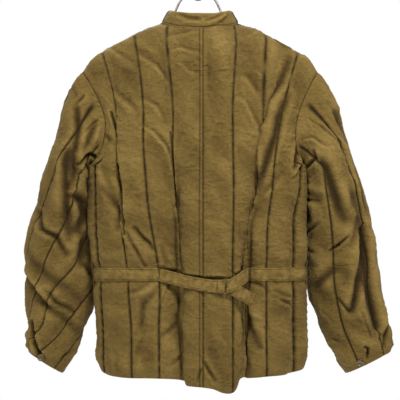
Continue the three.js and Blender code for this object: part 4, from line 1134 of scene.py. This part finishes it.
def strapPiece(name, node, places, endStitch=()):
    line = smoothLine([p[:3] for p in places], strap["steps"])
    at = np.linspace(0, len(places) - 1, len(line))
    leans = np.interp(at, np.arange(len(places)), [p[3] for p in places])
    leans = np.radians(np.convolve(np.pad(leans, 4, mode="edge"), np.ones(9) / 9, mode="valid"))
    along = unit(np.gradient(line, axis=0))
    up = stack(np.sin(leans), 0, np.cos(leans))
    up = unit(up - along * dot(up, along))
    out = unit(np.cross(along, up))
    out = np.where(dot(out[:1], np.array([0, -1.0, 0])) < 0, -out, out)
    run = runAlong(line)
    across = np.array([0, 0.4, 1.1, 2, 2.6, 3.2, 5, 8, 12])
    across = np.unique(np.concatenate([across, strap["wide"] - across])) - strap["wide"] / 2
    fromEdge = strap["wide"] / 2 - np.abs(across)
    stitch = bell(fromEdge - strap["stitchIn"], strap["stitch"])[None, :] * np.ones((len(line), 1))
    for place in endStitch:
        at = place if place > 0 else run[-1] + place
        stitch = np.maximum(stitch, bell(run - at, strap["endStitch"])[:, None])
    fuzz = 0.18 * waves(run[:, None], across[None, :], 71 + len(places), 26, 8)
    half = strap["thick"] / 2 * mix(0.35, 1, ease(-0.2, 1.1, fromEdge))[None, :] * (1 - 0.4 * stitch)
    rail = line[:, None] + up[:, None] * across[None, :, None]
    upper = rail + out[:, None] * (half + fuzz * 0.6)[..., None]
    lower = rail - out[:, None] * (half - fuzz * 0.6)[..., None]
    # The strap is painted lighter at its edges: partly rubbed wear, partly painted highlight.
    wearAndShade = clip01(0.62 + 0.8 * fuzz + 0.2 * ease(1.5, 0, fromEdge)[None, :])
    # Its stitching is painted darker: dirt and painted shade in its dents.
    piece = wallMesh(name, upper, lower, {"grooveDirtAndShade": 0.5 * stitch, "wearAndShade": wearAndShade}, sides="alike")
    dress(piece, node, strapCottonPaintedLighter)
    return run[-1]


# Places (x, y, z) along each strap and how far it leans there, in degrees.
leftStrap = [
    (-78.3, -91.5, 201, 2), (-58, -97.5, 196.5, 3), (-34, -103.5, 190, 6), (0, -107.5, 183.5, 3),
    (28, -110, 179.7, 0), (43.6, -111.3, 179, 0), (47.4, -108.5, 179, 0), (43.6, -105.7, 179, 0),
    (33, -106, 179.3, 0),
]
rightStrap = [
    (94.6, -67.2, 203, 2), (92, -86, 201, -4), (84, -98, 196, -12), (72, -107, 188, -10),
    (64, -110.8, 183, -4), (57, -111.6, 180, 0), (52.9, -108.5, 178.8, 0), (57, -105.4, 178, 3),
    (70, -107, 171, 24), (86, -109, 162, 31), (102, -110, 152.5, 31),
]
strapLengths = [
    strapPiece("belt.left", "belt_left", leftStrap, endStitch=(116,)),
    strapPiece("belt.right", "belt_right", rightStrap, endStitch=(-3, -6.5, -10)),
]
print("straps", strapLengths)


# A round rod swept along a line, closed at both ends unless it is a loop.
def rodMesh(line, radius, sides=16, loop=False):
    line = np.asarray(line, float)
    along = unit(np.roll(line, -1, 0) - np.roll(line, 1, 0) if loop else np.gradient(line, axis=0))
    across = unit(np.cross(along, [0, 1.0, 0]))
    other = unit(np.cross(along, across))
    turn = np.linspace(0, 2 * math.pi, sides, endpoint=False)[None, :, None]
    rings = line[:, None] + radius * (across[:, None] * np.cos(turn) + other[:, None] * np.sin(turn))
    if not loop:
        first = [mix(line[0], rings[0], share) for share in (0.02, 0.6, 0.93)]
        last = [mix(line[-1], rings[-1], share) for share in (0.93, 0.6, 0.02)]
        rings = np.concatenate([first, rings, last])
    return rings.reshape(-1, 3), gridFaces(len(rings), sides, loop, True)


def joinParts(name, parts):
    points, faces, shift = [], [], 0
    for partPoints, partFaces in parts:
        points.append(partPoints)
        faces.append(partFaces + shift)
        shift += len(partPoints)
    return makeMesh(name, np.concatenate(points), np.concatenate(faces))


# Buckle: a rounded rectangular loop of wire
buckle = {"x": 50.2, "y": -108.5, "z": 179, "wide": 12.8, "tall": 30, "wire": 0.8, "corner": 2}


def buckleLine():
    halfX, halfZ = buckle["wide"] / 2 - buckle["wire"], buckle["tall"] / 2 - buckle["wire"]
    corner, points = buckle["corner"], []
    for signX, signZ, first in ((1, 1, 0), (-1, 1, 90), (-1, -1, 180), (1, -1, 270)):
        for step in range(6):
            turn = math.radians(first + step * 18)
            x = signX * (halfX - corner) + corner * math.cos(turn)
            z = signZ * (halfZ - corner) + corner * math.sin(turn)
            points.append((buckle["x"] + x, buckle["y"], buckle["z"] + z))
    return points


piece = joinParts("buckleLoop", [rodMesh(buckleLine(), buckle["wire"], sides=12, loop=True)])
dress(piece, "buckle", buckleMetal)


# Buttons: a turned disc with a raised rim and two threads crossed over it where its four holes are
def lathe(profile, sides=48):
    turn = np.linspace(0, 2 * math.pi, sides, endpoint=False)
    rings = np.array([[(r * math.cos(a), h, r * math.sin(a)) for a in turn] for r, h in profile])
    return rings.reshape(-1, 3), gridFaces(len(profile), sides, False, True)


# A button's section from the middle of its back round to its front, by shares of its radius and thickness.
buttonSection = [
    (0.9, 0), (0.98, 0.2), (1, 0.45), (0.98, 0.8), (0.9, 1), (0.78, 1), (0.7, 0.82), (0.62, 0.62), (0.3, 0.56)
]
button = {"thick": 3, "middle": 0.02, "hole": 0.24, "thread": 0.06}


def buttonPiece(name, node, point, normal, radius):
    thick = button["thick"]
    profile = [(radius * across, thick * up) for across, up in buttonSection]
    parts = [lathe([(button["middle"], 0), *profile, (button["middle"], profile[-1][1])])]
    hole = radius * button["hole"]
    for way in (1, -1):
        bow = [
            (mix(-hole, hole, s), thick * (0.5 + 0.28 * math.sin(math.pi * s)), way * mix(hole, -hole, s))
            for s in np.linspace(0, 1, 9)
        ]
        parts.append(rodMesh(bow, radius * button["thread"], sides=8))
    matrix = np.array(Vector((0, 1, 0)).rotation_difference(Vector(normal)).to_matrix())
    parts = [(points @ matrix.T + point, faces) for points, faces in parts]
    dress(joinParts(name, parts), node, buttonMetal)


frontButtons = [575, 470, 365, 260, 110]
for k, v in enumerate(frontButtons):
    _, outer, normal, *_ = panelSurface("front", -1, np.array([0.0]), np.array([float(v)]))
    buttonPiece(f"button.{k + 1}", f"button_{k + 1}", outer[0] + normal[0] * 0.3, normal[0], 10)

cuffButtons = {-1: (0.215, 0.972), 1: (0.3, 0.972)}
for half, (u, t) in cuffButtons.items():
    u, t = np.array([u]), np.array([t])
    normal = sleeveNormal(half, u, t)[0]
    point = sleevePoint(half, u, t)[0] + normal * (wall + puff * 0.55 + 1)
    buttonPiece(f"cuffButton.{sideNames[half]}", f"cuff_button_{sideNames[half]}", point, normal, 7.5)
print("buttons")

# Hanger: one bent wire under the shoulders, and a hook with its ferrule
hanger = {"wire": 2.3, "shift": -4, "archTop": 753, "hook": 22, "hookFrom": 215, "hookStep": 19, "gap": 2}
arm = [(25, 753), (33, 749), (42.5, 732), (50, 714), (62, 697)]
for x in (88, 112, 140, 170, 195):
    ridge = float(read(shoulderRidge, "x", "z", x - hanger["shift"]))
    arm.append((x, ridge - hanger["wire"] - hanger["gap"]))

shift = np.array([hanger["shift"], 0, 0])
wire = [(-x, z) for x, z in reversed(arm)] + [(0, hanger["archTop"])] + arm
wire = smoothLine([(x, 0, z) for x, z in wire], 8) + shift
piece = joinParts("hangerFrame", [rodMesh(wire, hanger["wire"])])
dress(piece, "hanger_frame", wireMetal)

hookCentre = hookHeight - (hanger["hook"] - hanger["wire"])
hookLine = [(0, 0, hanger["archTop"] + 6), (0, 0, hanger["archTop"] + 14), (-4, 0, hanger["archTop"] + 26)]
for k in range(13):
    turn = math.radians(hanger["hookFrom"] - k * hanger["hookStep"])
    hookLine.append((hanger["hook"] * math.cos(turn), 0, hookCentre + hanger["hook"] * math.sin(turn)))
ferruleProfile = [(2.6, -6.5), (5.6, -6.5), (6, -6), (6, 10), (5.6, 10.5), (2.4, 10.5)]
ferrulePoints, ferruleFaces = lathe(ferruleProfile, sides=32)
ferrulePoints = ferrulePoints[:, [0, 2, 1]] * (1, -1, 1) + (0, 0, hanger["archTop"])
hookParts = [rodMesh(smoothLine(hookLine, 8), hanger["wire"]), (ferrulePoints, ferruleFaces)]
piece = joinParts("hangerHook", [(points + shift, faces) for points, faces in hookParts])
dress(piece, "hanger_hook", wireMetal)
print("hanger")

# Floor, light and camera
studio = {
    "floorZ": -1.25,
    "floorSize": 6,
    "aim": (0.004, 0, -0.478),
    "distance": 4.5,
    "field": 0.8,
    "sensor": 36,
}


def floorMaterial():
    material, feed, node, noise, ramp = newMaterial("floor")
    share = noise(node("TexCoord", out="Object"), 4, 3)
    colour = ramp(share, (0, (0.80, 0.79, 0.77, 1)), (1, (0.86, 0.85, 0.83, 1)))
    feed({"Base Color": colour, "Roughness": 0.9})
    return material


half = studio["floorSize"] / 2
floorMesh = bpy.data.meshes.new("floor")
corners = [(-half, -half), (half, -half), (half, half), (-half, half)]
floorMesh.from_pydata([(x, y, studio["floorZ"]) for x, y in corners], [], [(0, 1, 2, 3)])
floor = bpy.data.objects.new("floor", floorMesh)
bpy.context.collection.objects.link(floor)
floorMesh.materials.append(floorMaterial())


def areaLight(name, place, size, watts, colour):
    light = bpy.data.lights.new(name, "AREA")
    light.shape = "RECTANGLE"
    light.size, light.size_y = size
    light.energy = watts
    light.color = colour
    lamp = bpy.data.objects.new(name, light)
    bpy.context.collection.objects.link(lamp)
    lamp.location = place
    lamp.rotation_euler = (Vector(studio["aim"]) - Vector(place)).to_track_quat("-Z", "Y").to_euler()


areaLight("key", (0.4, -1.5, 1.25), (0.7, 0.5), 130, (1.0, 0.97, 0.92))
areaLight("fill", (-1.9, -2.2, 0.3), (1.4, 1.4), 34, (0.98, 0.98, 1.0))
areaLight("rightSide", (2.4, -0.7, 0.5), (1.2, 1.2), 30, (1.0, 0.98, 0.95))
areaLight("leftSide", (-2.4, -0.5, 0.5), (1.2, 1.2), 20, (1.0, 0.99, 0.97))
areaLight("behind", (-0.5, 2.2, 1.3), (1.6, 1.0), 150, (1.0, 0.99, 0.97))

scene = bpy.context.scene
scene.view_settings.view_transform = "Standard"
world = bpy.data.worlds.new("studio")
world.use_nodes = True
background = world.node_tree.nodes["Background"]
background.inputs["Color"].default_value = (1, 1, 1, 1)
background.inputs["Strength"].default_value = 1.0
scene.world = world

camera = bpy.data.objects.new("camera", bpy.data.cameras.new("camera"))
bpy.context.collection.objects.link(camera)
camera.location = (studio["aim"][0], -studio["distance"], studio["aim"][2])
camera.rotation_euler = (math.pi / 2, 0, 0)
camera.data.sensor_width = studio["sensor"]
camera.data.lens = studio["sensor"] * studio["distance"] / studio["field"]
camera.data.clip_end = 40
scene.camera = camera
print("studio")
